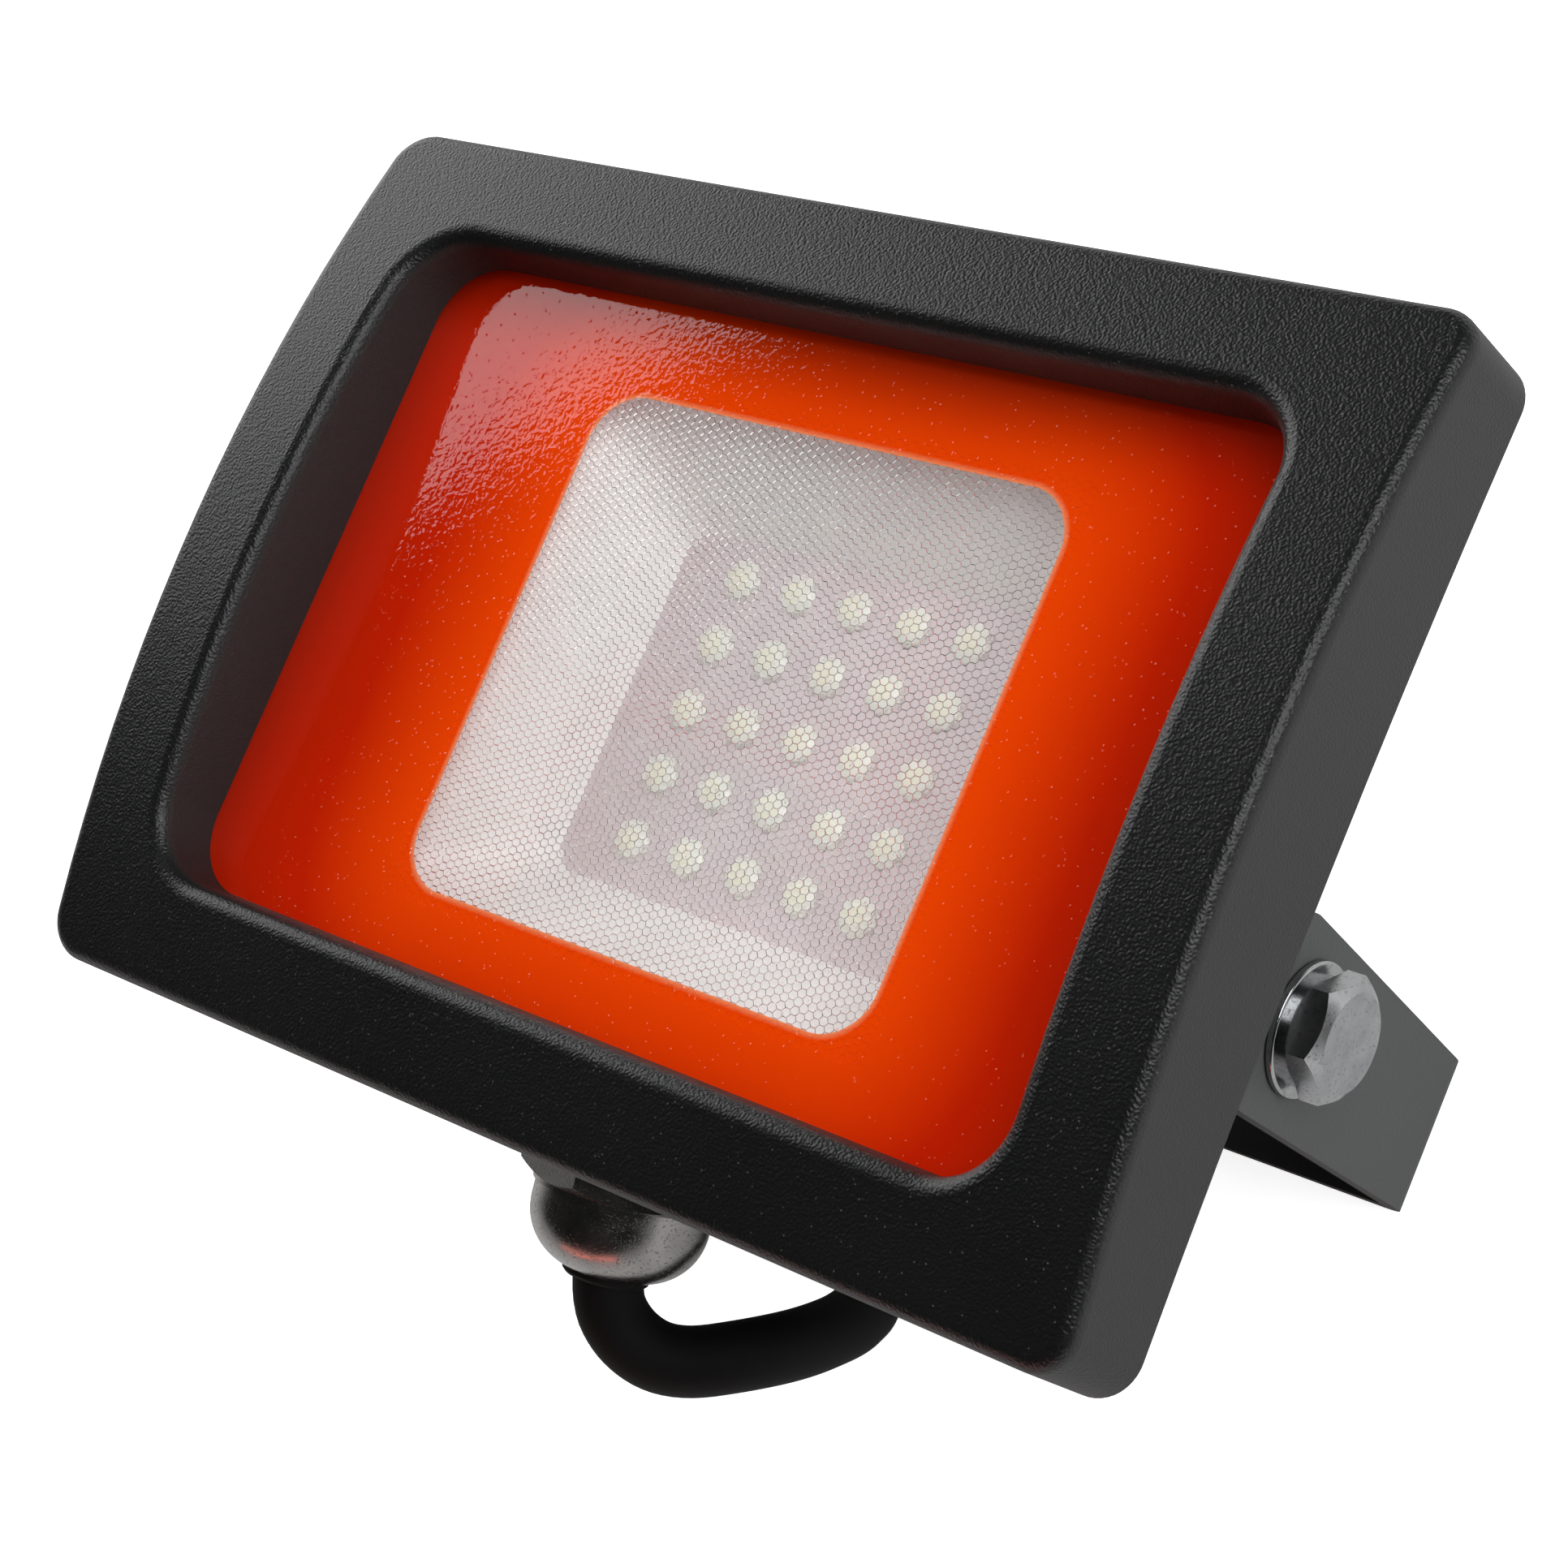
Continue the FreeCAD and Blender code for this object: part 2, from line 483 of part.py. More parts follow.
def rear_housing():
    """Hollow drafted casting with a flange, fins on its back, pivot bosses and a boss for the gland."""
    body = head_body("rear_housing")
    sketch = new_sketch(body, "body_outline", "XY_Plane", flange_back)
    rounded_rectangle(sketch, "0", "0", "housing_width", "housing_height", "housing_corner")
    extrude("Pad", body, "body_block", sketch, flange_back + " - housing_back", backwards=True, draft="-housing_draft")
    back = number("housing_back")
    dress("Fillet", body, "body_back_edge", "housing_edge_round",
          lambda edge: all(abs(v.Z - back) < 1e-3 for v in edge.Vertexes))

    sketch = new_sketch(body, "flange_outline", "XY_Plane", flange_back)
    rounded_rectangle(sketch, "0", "0", "flange_width", "flange_height", "flange_corner")
    extrude("Pad", body, "flange", sketch, "flange_thickness")

    sketch = new_sketch(body, "fin_outline", "XY_Plane", "housing_back - fin_height")
    first = "(-fin_pitch * (fin_count - 1) / 2)"
    half_fin = "fin_thickness / 2"
    outline(sketch, [("%s + (%d) * %s" % (first, i, half_fin), "(%d) * fin_length / 2" % k)
                     for i, k in ((-1, -1), (1, -1), (1, 1), (-1, 1))])
    fin = extrude("Pad", body, "fin", sketch, "fin_height + back_wall / 2")
    fins = body.newObject("PartDesign::LinearPattern", "fins")
    fins.Originals = [fin]
    fins.Direction = (datum(body, "X_Axis"), [""])
    fins.Mode = "Spacing"
    bind(fins, Offset="fin_pitch", Occurrences="fin_count")
    body.Tip = fins
    doc.recompute()

    seat = "(arm_span / 2 - plate_thickness - arm_gap)"
    sketch = new_sketch(body, "pivot_boss_outline", "YZ_Plane", seat)
    circle(sketch, "pivot_across", "pivot_height", "pivot_boss_radius")
    boss = extrude("Pad", body, "pivot_boss", sketch, "pivot_boss_reach", backwards=True)
    mirrored_once(body, "pivot_bosses", [boss])

    sketch = new_sketch(body, "cavity_outline", "XY_Plane", flange_front)
    rounded_rectangle(sketch, "0", "0", "cavity_width", "cavity_height", "cavity_corner")
    extrude("Pocket", body, "cavity", sketch, flange_front + " - " + cavity_floor, draft="-housing_draft")

    sketch = new_sketch(body, "pivot_core_outline", "YZ_Plane", seat + " - pivot_boss_depth")
    circle(sketch, "pivot_across", "pivot_height", "pivot_boss_inner")
    core = extrude("Pad", body, "pivot_core", sketch, "pivot_boss_depth - past")
    mirrored_once(body, "pivot_cores", [core])
    sketch = new_sketch(body, "pivot_bore_outline", "YZ_Plane", seat)
    circle(sketch, "pivot_across", "pivot_height", "pivot_bore")
    bore = extrude("Pocket", body, "pivot_bore_cut", sketch, "pivot_bore_depth")
    mirrored_once(body, "pivot_bores", [bore])

    sketch = new_sketch(body, "carrier_post_outline", "XY_Plane", cavity_floor + " - post_sink")
    for x, y in four(carrier_screw_x, carrier_screw_y):
        circle(sketch, x, y, "post_radius")
    extrude("Pad", body, "carrier_posts", sketch, "carrier_height - %s + post_sink" % cavity_floor)
    sketch = new_sketch(body, "driver_post_outline", "XY_Plane", cavity_floor + " - post_sink")
    for x, y in four(driver_screw_x, driver_screw_y) + [earth_place()]:
        circle(sketch, x, y, "driver_post_radius")
    extrude("Pad", body, "driver_posts", sketch, "driver_height - %s + post_sink" % cavity_floor)
    drill(body, "carrier_threads", "carrier_height", four(carrier_screw_x, carrier_screw_y),
          "small_shank + thread_gap", "carrier_screw_depth", upwards=False)
    drill(body, "driver_threads", "driver_height", four(driver_screw_x, driver_screw_y) + [earth_place()],
          "small_shank + thread_gap", "driver_screw_depth", upwards=False)
    drill(body, "flange_holes", flange_back + " - past", four(flange_screw_x, flange_screw_y),
          "small_shank + screw_clearance", "flange_thickness + 2 * past")

    sketch = gland_sketch(body, "gland_boss_outline", "0")
    circle(sketch, "0", "0", "gland_boss_radius")
    extrude("Pad", body, "gland_boss", sketch, "gland_thread_length", backwards=True)
    sketch = gland_sketch(body, "gland_thread_outline", "past")
    circle(sketch, "0", "0", "gland_thread")
    extrude("Pocket", body, "gland_thread_cut", sketch, "gland_thread_length + 4 * past")
    return body


def earth_place():
    """Earth screw beside the driver board, as a pair of expressions."""
    return ("-(%s / 2 + earth_off)" % driver_width, "0")


def gland_sketch(body, name, offset):
    """Sketch square to the gland's axis, its origin on that axis, out from the seat by offset."""
    sketch = body.newObject("Sketcher::SketchObject", name)
    sketch.AttachmentSupport = [(datum(body, "XZ_Plane"), "")]
    sketch.MapMode = "FlatFace"
    sketch.AttachmentOffset = Placement(Vector(0, 0, 0), Rotation(Vector(1, 0, 0), number("gland_tilt")))
    bind(sketch,
         AttachmentOffset__Rotation__Angle="gland_tilt * 1 deg",
         AttachmentOffset__Base__y="gland_height - (%s) * sin(gland_tilt * 1 deg)" % offset,
         AttachmentOffset__Base__z="-gland_across + (%s) * cos(gland_tilt * 1 deg)" % offset)
    return sketch


def glass_and_seal():
    slab("front_glass", "0", "0", "glass_width", "glass_height", "glass_corner", glass_back, "glass_thickness")
    gasket = slab("glass_gasket", "0", "0", "glass_width", "glass_height", "glass_corner", flange_front,
                  "gasket_thickness")
    hole = new_sketch(gasket, "gasket_hole", "XY_Plane", flange_front)
    rounded_rectangle(hole, "0", "0", "glass_width - 2 * gasket_band", "glass_height - 2 * gasket_band",
                      "glass_corner - gasket_band")
    extrude("Pocket", gasket, "gasket_ring", hole, "gasket_thickness", backwards=True)


def reflector():
    """White moulding: a funnel from the light board up to a flat rim behind the glass."""
    body = head_body("reflector")
    rim_low = flange_front + " - reflector_wall"
    sketch = new_sketch(body, "rim_outline", "XY_Plane", rim_low)
    rounded_rectangle(sketch, "0", "0", "cavity_width - 2 * reflector_margin",
                      "cavity_height - 2 * reflector_margin", "cavity_corner")
    extrude("Pad", body, "reflector_rim", sketch, "reflector_wall")
    for kind, extra in (("AdditiveLoft", "2 * reflector_wall"), ("SubtractiveLoft", "0")):
        foot = new_sketch(body, "foot_" + kind, "XY_Plane", light_board_top)
        rounded_rectangle(foot, "light_across", "light_up - 0.4", "reflector_foot_width + " + extra,
                          "reflector_foot_depth + " + extra, "reflector_corner")
        mouth = new_sketch(body, "mouth_" + kind, "XY_Plane", flange_front)
        rounded_rectangle(mouth, "light_across", "light_up", "reflector_mouth_width + " + extra,
                          "reflector_mouth_depth + " + extra, "2 * reflector_corner")
        loft = body.newObject("PartDesign::" + kind, "funnel_" + kind)
        loft.Profile = foot
        loft.Sections = [mouth]
        doc.recompute()
    return body


def screws(name, places, seat, length, downwards=True):
    """Pan-head screws, each a solid of its own: head on the seat, shank through it."""
    body = head_body(name)
    way = 1 if downwards else -1
    seat_sketch = new_sketch(body, name + "_heads", "XY_Plane", seat)
    for x, y in places:
        circle(seat_sketch, x, y, "small_head")
    extrude("Pad", body, name + "_head", seat_sketch, "small_head_height", backwards=not downwards)
    dress("Fillet", body, name + "_dome", "small_head_height / 2",
          lambda edge: abs(edge.CenterOfMass.z - number(seat) - way * number("small_head_height")) < 1e-3)
    shank_sketch = new_sketch(body, name + "_shanks", "XY_Plane", seat)
    for x, y in places:
        circle(shank_sketch, x, y, "small_shank")
    extrude("Pad", body, name + "_shank", shank_sketch, length, backwards=downwards)
    return body


def light_engine():
    """Carrier plate, light board, chips and their screws."""
    carrier = slab("mounting_plate", "0", "0", carrier_width, carrier_depth, "carrier_corner", "carrier_height",
                   "carrier_thickness")
    drill(carrier, "carrier_holes", "carrier_height - past", four(carrier_screw_x, carrier_screw_y),
          "small_shank + screw_clearance", "carrier_thickness + 2 * past")
    board_places = four(board_screw_x, board_screw_y, "light_across", "light_up")
    drill(carrier, "board_threads", "carrier_height - past", board_places, "small_shank + thread_gap",
          "carrier_thickness + 2 * past")
    wire_hole = [("-(%s / 2 + wire_hole_off)" % light_board_width, "-%s / 5" % carrier_depth)]
    drill(carrier, "wire_hole", "carrier_height - past", wire_hole, "wire_hole", "carrier_thickness + 2 * past")
    screws("plate_screws", four(carrier_screw_x, carrier_screw_y), carrier_top, "carrier_screw_length")

    board = slab("led_board", "light_across", "light_up", light_board_width, light_board_depth, "board_corner",
                 carrier_top, "board_thickness")
    drill(board, "board_holes", carrier_top + " - past", board_places, "small_shank + screw_clearance",
          "board_thickness + 2 * past")
    screws("board_screws", board_places, light_board_top, "light_screw_length")

    chips = head_body("led_chips")
    chip_x = "(light_across - chip_pitch_x * (chip_columns - 1) / 2)"
    chip_y = "(light_up - chip_pitch_y * (chip_rows - 1) / 2)"
    sketch = new_sketch(chips, "chip_outline", "XY_Plane", light_board_top)
    rounded_rectangle(sketch, chip_x, chip_y, "chip_width", "chip_depth", "0.3")
    chip = extrude("Pad", chips, "chip", sketch, "chip_height")
    grid = chips.newObject("PartDesign::MultiTransform", "chip_grid")
    grid.Originals = [chip]
    rows = []
    for role, pitch, count in (("X_Axis", "chip_pitch_x", "chip_columns"), ("Y_Axis", "chip_pitch_y", "chip_rows")):
        line = doc.addObject("PartDesign::LinearPattern", "chips_along_" + role)
        chips.addObject(line)
        line.Direction = (datum(chips, role), [""])
        line.Mode = "Spacing"
        bind(line, Offset=pitch, Occurrences=count)
        rows.append(line)
    grid.Transformations = rows
    chips.Tip = grid
    finished(grid)


def block(name, corner, size):
    """Plain box from a corner, both given as three expressions."""
    box = doc.addObject("Part::Box", name)
    box.Label = name
    bind(box, Length=size[0], Width=size[1], Height=size[2])
    bind(box, Placement__Base__x=corner[0], Placement__Base__y="%s + %s" % (corner[1], HEAD_OFFSET),
         Placement__Base__z=corner[2])
    return box


def rod(name, start, radius, length, direction="z"):
    """Plain cylinder from a point along Z or X, the point given as three expressions."""
    cylinder = doc.addObject("Part::Cylinder", name)
    cylinder.Label = name
    if direction == "x":
        cylinder.Placement = Placement(Vector(0, 0, 0), Rotation(Vector(0, 1, 0), 90))
    bind(cylinder, Radius=radius, Height=length)
    bind(cylinder, Placement__Base__x=start[0], Placement__Base__y="%s + %s" % (start[1], HEAD_OFFSET),
         Placement__Base__z=start[2])
    return cylinder


def joined(name, pieces):
    fuse = doc.addObject("Part::MultiFuse", name)
    fuse.Label = name
    fuse.Shapes = pieces
    fuse.Refine = True
    return fuse


def driver():
    """Driver board with its large components, under the carrier plate."""
    board = slab("driver_board", "0", "0", driver_width, "driver_depth", "board_corner", "driver_height",
                 "board_thickness")
    drill(board, "driver_board_holes", "driver_height - past", four(driver_screw_x, driver_screw_y),
          "small_shank + screw_clearance", "board_thickness + 2 * past")
    screws("driver_screws", four(driver_screw_x, driver_screw_y), driver_top, "driver_screw_length")
    screws("earth_screw", [earth_place()], "driver_height", "light_screw_length")

    base = block("transformer_bobbin", ("-2", "-9", driver_top), ("17", "18", "1.6"))
    core = block("transformer_core", ("0.5", "-6.5", driver_top + " + 1.6"), ("12", "13", "6.4"))
    winding = block("transformer_winding", ("2.5", "-8", driver_top + " + 1.6"), ("8", "16", "4.8"))
    joined("transformer", [base, core, winding])
    rod("mains_capacitor", ("-24", "8", driver_top + " + 4"), "4", "13", "x")
    rod("output_capacitor", ("17.5", "-10", driver_top + " + 3.15"), "3.15", "11", "x")
    foot = rod("choke_foot", ("22", "6", driver_top), "4", "1.2")
    waist = rod("choke_winding", ("22", "6", driver_top + " + 1.2"), "3.2", "4.6")
    head = rod("choke_head", ("22", "6", driver_top + " + 5.8"), "4", "1.2")
    joined("choke", [foot, waist, head])
    block_body = block("terminal_housing", ("-25", "-15", driver_top), ("15", "7.5", "8.4"))
    wells = [rod("terminal_well_%d" % place, ("-22.5 + 5 * %d" % place, "-11.2", driver_top + " + 3.4"), "1.7", "6")
             for place in range(3)]
    tool = joined("terminal_wells", wells)
    terminal = doc.addObject("Part::Cut", "terminal_block")
    terminal.Label = "terminal_block"
    terminal.Base = block_body
    terminal.Tool = tool
    doc.recompute()


def bracket():
    """Folded strap: the front view is extruded, then cut back to the side view and drilled."""
    body = new_body("bracket")
    margin = "6"
    reach = "(strap_width / 2 + arm_half_width + %s)" % margin
    front = new_sketch(body, "bracket_front", "XZ_Plane", "-" + reach)
    outer = "(arm_span / 2)"
    inner = "(arm_span / 2 - plate_thickness)"
    outline(front, [("-" + outer, "0"), (outer, "0"), (outer, "arm_top"), (inner, "arm_top"),
                    (inner, "plate_thickness"), ("-" + inner, "plate_thickness"),
                    ("-" + inner, "arm_top"), ("-" + outer, "arm_top")])
    extrude("Pad", body, "folded_strip", front, "2 * " + reach)
    nearly_out = number(outer) - 0.01
    dress("Fillet", body, "bend_outer", "bend_inside + plate_thickness",
          lambda edge: abs(edge.tangentAt(0).y) > 0.99 and abs(edge.CenterOfMass.x) > nearly_out
          and edge.CenterOfMass.z < 0.01)
    dress("Fillet", body, "bend_inner", "bend_inside",
          lambda edge: abs(edge.tangentAt(0).y) > 0.99 and abs(edge.CenterOfMass.x) < nearly_out
          and abs(edge.CenterOfMass.z - number("plate_thickness")) < 0.01)
    side = new_sketch(body, "bracket_side", "YZ_Plane", "-(arm_span / 2 + past)")
    far = "(2 * %s)" % reach
    outline(side, [("-" + far, "-2 * past"), (far, "-2 * past"), (far, "arm_top + past"), ("-" + far, "arm_top + past")])
    left = "(pivot_offset - arm_half_width)"
    right = "(pivot_offset + arm_half_width)"
    bevel = "arm_corner * (1 - sqrt(0.5))"
    outline(side, [
        ("-strap_width / 2", "-past"),
        ("strap_width / 2", "-past"),
        ("strap_width / 2", "bend_inside"),
        (right, "arm_top - arm_corner", right + " - " + bevel, "arm_top - " + bevel, "arm_corner"),
        (right + " - arm_corner", "arm_top"),
        (left + " + arm_corner", "arm_top", left + " + " + bevel, "arm_top - " + bevel, "arm_corner"),
        (left, "arm_top - arm_corner"),
        ("-strap_width / 2", "bend_inside"),
    ])
    extrude("Pocket", body, "side_profile", side, "arm_span + 2 * past", backwards=True)
    pivot = new_sketch(body, "arm_holes_outline", "YZ_Plane", "-(arm_span / 2 + past)")
    circle(pivot, "pivot_offset", "pivot_height", "arm_bore")
    extrude("Pocket", body, "arm_holes", pivot, "arm_span + 2 * past", backwards=True)
    holes = new_sketch(body, "strap_holes_outline", "XY_Plane", "-past")
    circle(holes, "0", "0", "strap_hole")
    for way in (-1, 1):
        slot(holes, "(%d) * slot_offset" % way, "0", "slot_length", "slot_radius")
    extrude("Pocket", body, "strap_holes", holes, "plate_thickness + 2 * past", backwards=True)
    return body


def pivot_side(name, side):
    """Washer and bolt on one side: both are made along Z and then turned outwards."""
    turned = Rotation(Vector(0, 1, 0), 90 * side)
    washer = new_body("flat_washer_" + name)
    sketch = new_sketch(washer, "washer_%s_outline" % name, "XY_Plane", "0")
    circle(sketch, "0", "0", "washer_radius")
    circle(sketch, "0", "0", "washer_bore")
    extrude("Pad", washer, "washer_%s_ring" % name, sketch, "washer_thickness")
    dress("Fillet", washer, "washer_%s_edge" % name, "washer_thickness / 3",
          lambda edge: edge.Curve.TypeId == "Part::GeomCircle"
          and abs(edge.Curve.Radius - number("washer_radius")) < 1e-3)

    bolt = new_body("pivot_bolt_" + name)
    sketch = new_sketch(bolt, "hexagon_%s_outline" % name, "XY_Plane", "bolt_collar")
    hexagon(sketch, "bolt_flats", "bolt_turn")
    extrude("Pad", bolt, "hexagon_%s" % name, sketch, "bolt_head")
    cone = new_sketch(bolt, "cone_%s_outline" % name, "XZ_Plane", "0")
    top = "(bolt_collar + bolt_head)"
    corner = "(bolt_flats / sqrt(3))"
    outline(cone, [
        ("bolt_flat", top),
        (corner + " + past", "%s - bolt_chamfer * (%s + past - bolt_flat) / (%s - bolt_flat)" % (top, corner, corner)),
        (corner + " + past", top + " + past"),
        ("bolt_flat", top + " + past"),
    ])
    groove = bolt.newObject("PartDesign::Groove", "cone_%s" % name)
    groove.Profile = cone
    groove.ReferenceAxis = (cone, ["V_Axis"])
    groove.Angle = 360.0
    doc.recompute()
    sketch = new_sketch(bolt, "collar_%s_outline" % name, "XY_Plane", "0")
    circle(sketch, "0", "0", "bolt_collar_radius")
    extrude("Pad", bolt, "collar_%s" % name, sketch, "bolt_collar")
    sketch = new_sketch(bolt, "shank_%s_outline" % name, "XY_Plane", "0")
    circle(sketch, "0", "0", "bolt_radius")
    extrude("Pad", bolt, "shank_%s" % name, sketch, "bolt_length", backwards=True)

    for body, out in ((washer, "arm_span / 2 + washer_gap"), (bolt, "arm_span / 2 + washer_gap + washer_thickness")):
        body.Placement = Placement(Vector(0, 0, 0), turned)
        bind(body, Placement__Base__x="(%d) * (%s)" % (side, out), Placement__Base__y="pivot_offset",
             Placement__Base__z="pivot_height")


def gland_turned(name, corners):
    """Turned piece of the gland: corners are (radius, distance out from the seat), with arcs as in outline."""
    body = new_body(name)
    sketch = new_sketch(body, name + "_half", "XZ_Plane", "0")
    outline(sketch, corners)
    revolve(body, name + "_turned", sketch)
    return body


def place_on_gland(body):
    """Turns a piece that was made along Z onto the gland's axis."""
    body.Placement = Placement(Vector(0, 0, 0), Rotation(Vector(1, 0, 0), 90 + number("gland_tilt")))
    bind(body, Placement__Base__y="gland_across + " + HEAD_OFFSET, Placement__Base__z="gland_height",
         Placement__Rotation__Angle="(90 + gland_tilt) * 1 deg")


def gland():
    """Nickel-plated gland: sealing ring, hexagon body, dome nut and rubber insert."""
    hexagon_top = "(gland_seal + gland_hexagon)"
    neck_top = "(gland_seal + gland_hexagon + gland_neck_length)"
    nut_top = "(gland_seal + gland_hexagon + nut_length)"
    bore = "(insert_radius + gland_fit)"
    body = new_body("gland_body")
    sketch = new_sketch(body, "gland_hexagon_outline", "XY_Plane", "gland_seal")
    hexagon(sketch, "gland_flats", "gland_turn")
    extrude("Pad", body, "gland_hexagon_block", sketch, "gland_hexagon")
    cone = new_sketch(body, "gland_cone_outline", "XZ_Plane", "0")
    corner = "(gland_flats / sqrt(3))"
    outline(cone, [
        ("gland_flats / 2", hexagon_top),
        (corner + " + past", "%s - gland_bevel * (%s + past - gland_flats / 2) / (%s - gland_flats / 2)"
         % (hexagon_top, corner, corner)),
        (corner + " + past", hexagon_top + " + past"),
        ("gland_flats / 2", hexagon_top + " + past"),
    ])
    groove = body.newObject("PartDesign::Groove", "gland_cone")
    groove.Profile = cone
    groove.ReferenceAxis = (cone, ["V_Axis"])
    groove.Angle = 360.0
    doc.recompute()
    for name, start, radius, length, back in (
            ("gland_stub", "gland_seal", "gland_thread - gland_fit", "gland_thread_length + gland_seal", True),
            ("gland_neck_tube", "gland_seal", "gland_neck", "gland_hexagon + gland_neck_length", False)):
        sketch = new_sketch(body, name + "_outline", "XY_Plane", start)
        circle(sketch, "0", "0", radius)
        extrude("Pad", body, name, sketch, length, backwards=back)
    sketch = new_sketch(body, "gland_seat_outline", "XY_Plane", hexagon_top + " - gland_seat_depth")
    circle(sketch, "0", "0", bore)
    extrude("Pocket", body, "gland_seat", sketch, "gland_seat_depth + gland_neck_length + past", backwards=True)
    sketch = new_sketch(body, "gland_bore_outline", "XY_Plane", neck_top)
    circle(sketch, "0", "0", "cable_radius + gland_bore_gap")
    extrude("Pocket", body, "gland_bore", sketch, neck_top + " + gland_thread_length + past")
    place_on_gland(body)

    seal = new_body("gland_seal")
    sketch = new_sketch(seal, "seal_outline", "XY_Plane", "0")
    circle(sketch, "0", "0", "gland_boss_radius - 0.2")
    circle(sketch, "0", "0", "gland_thread")
    extrude("Pad", seal, "seal_ring", sketch, "gland_seal")
    place_on_gland(seal)

    dome = "((pow(nut_radius - nut_dome_end; 2) + pow(nut_dome_height; 2)) / (2 * (nut_radius - nut_dome_end)))"
    half_dome = "(asin(nut_dome_height / %s) / 2)" % dome
    nut = gland_turned("gland_dome_nut", [
        ("gland_neck + gland_fit", hexagon_top),
        ("nut_radius + nut_rim", hexagon_top),
        ("nut_radius + nut_rim", hexagon_top + " + nut_rim_height"),
        ("nut_radius", hexagon_top + " + nut_rim_height"),
        ("nut_radius", nut_top + " - nut_dome_height", "nut_radius - %s * (1 - cos(%s))" % (dome, half_dome),
         "%s - nut_dome_height + %s * sin(%s)" % (nut_top, dome, half_dome), dome),
        ("nut_dome_end", nut_top),
        ("nut_mouth", nut_top),
        ("nut_mouth", nut_top + " - nut_end_wall"),
        (bore, nut_top + " - nut_end_wall - (%s - nut_mouth)" % bore),
        (bore, neck_top + " + 2 * gland_fit"),
        ("gland_neck + gland_fit", neck_top + " + 2 * gland_fit"),
    ])
    place_on_gland(nut)

    rubber = gland_turned("gland_insert", [
        ("cable_radius", hexagon_top + " - gland_seat_depth"),
        ("insert_radius", hexagon_top + " - gland_seat_depth"),
        ("insert_radius", nut_top + " - nut_end_wall - gland_fit - (%s - nut_mouth)" % bore),
        ("nut_mouth - gland_fit", nut_top + " - nut_end_wall - gland_fit"),
        ("nut_mouth - gland_fit", nut_top + " + insert_out - 0.3"),
        ("nut_mouth - 0.35", nut_top + " + insert_out"),
        ("cable_radius", nut_top + " + insert_out"),
    ])
    place_on_gland(rubber)


# Route of the cable, chosen by hand: out of the gland, a tight turn, down to the surface behind the
# lamp, then along that surface and round outside the bracket's arm.
CABLE_ROUTE = [
    (0.0, -36.25, 42.27), (0.0, -41.05, 41.07), (2.2, -44.4, 38.1), (6.0, -45.0, 35.0), (11.2, -41.3, 31.5),
    (12.3, -38.2, 25.1), (10.8, -34.6, 16.8), (5.9, -31.1, 9.9), (-3.3, -28.1, 4.5), (-15.0, -27.5, 3.4),
    (-29.5, -28.1, 3.4), (-44.5, -26.1, 3.4), (-58.5, -21.8, 3.4), (-70.0, -13.7, 3.4), (-77.0, -1.7, 3.4),
    (-78.6, 11.8, 3.4), (-75.4, 24.8, 3.4), (-67.5, 35.8, 3.4), (-56.0, 43.6, 3.4), (-43.5, 47.8, 3.4),
]
# Each core: its angle round the cable in degrees, then how far it has moved sideways and down at its end.
CORES = [("core_brown", 90.0, 3.2, -1.4), ("core_blue", 210.0, -2.6, -1.2), ("core_earth", 330.0, 6.4, -1.2)]
CORE_LENGTH = 24.0


def rounded_wire(points):
    """Straight runs joined by tangent arcs, with the arcs' radii. Each arc takes 0.45 of its shorter run."""
    edges = []
    radii = []
    start = points[0]
    for before, here, after in zip(points, points[1:], points[2:]):
        back = (before - here).normalize()
        ahead = (after - here).normalize()
        half_turn = (math.pi - back.getAngle(ahead)) / 2
        reach = 0.45 * min((before - here).Length, (after - here).Length)
        radius = reach / math.tan(half_turn)
        radii.append(radius)
        middle = here + (back + ahead).normalize() * (math.hypot(radius, reach) - radius)
        edges.append(Part.LineSegment(start, here + back * reach).toShape())
        edges.append(Part.Arc(here + back * reach, middle, here + ahead * reach).toShape())
        start = here + ahead * reach
    edges.append(Part.LineSegment(start, points[-1]).toShape())
    return Part.Wire(edges), radii


def tube(name, points, radius):
    """Solid tube along a rounded route."""
    path, radii = rounded_wire(points)
    direction = points[1] - points[0]
    section = Part.Wire([Part.Circle(points[0], direction, radius).toShape()])
    shape = path.makePipeShell([section], True, False)
    feature = doc.addObject("Part::Feature", name)
    feature.Label = name
    feature.Shape = Part.Solid(shape) if shape.ShapeType != "Solid" else shape
    expected = math.pi * radius * radius * path.Length
    print("%s: length %.1f, volume %.1f of %.1f, radii %s"
          % (name, path.Length, feature.Shape.Volume, expected, " ".join("%.1f" % r for r in radii)))
    if abs(feature.Shape.Volume - expected) > 0.01 * expected:
        raise ValueError(name + " has the wrong volume")
    return feature


def cable():
    """Cable and the three cores that its end leaves bare."""
    route = [Vector(*point) for point in CABLE_ROUTE]
    tube("cord_lead", route, number("cable_radius"))
    end = route[-1]
    ahead = (route[-1] - route[-2]).normalize()
    aside = Vector(-ahead.y, ahead.x, 0)
    for name, angle, sideways, down in CORES:
        turn = math.radians(angle)
        ring = number("core_circle")
        start = end + aside * (ring * math.cos(turn)) + Vector(0, 0, ring * math.sin(turn))
        lowest = number("core_radius") + 0.05
        drop = max(down, lowest - start.z)
        route_core = [
            start,
            start + ahead * (CORE_LENGTH * 0.3),
            start + ahead * (CORE_LENGTH * 0.62) + aside * (sideways * 0.45) + Vector(0, 0, drop * 0.55),
            start + ahead * CORE_LENGTH + aside * sideways + Vector(0, 0, drop),
        ]
        tube(name, route_core, number("core_radius"))


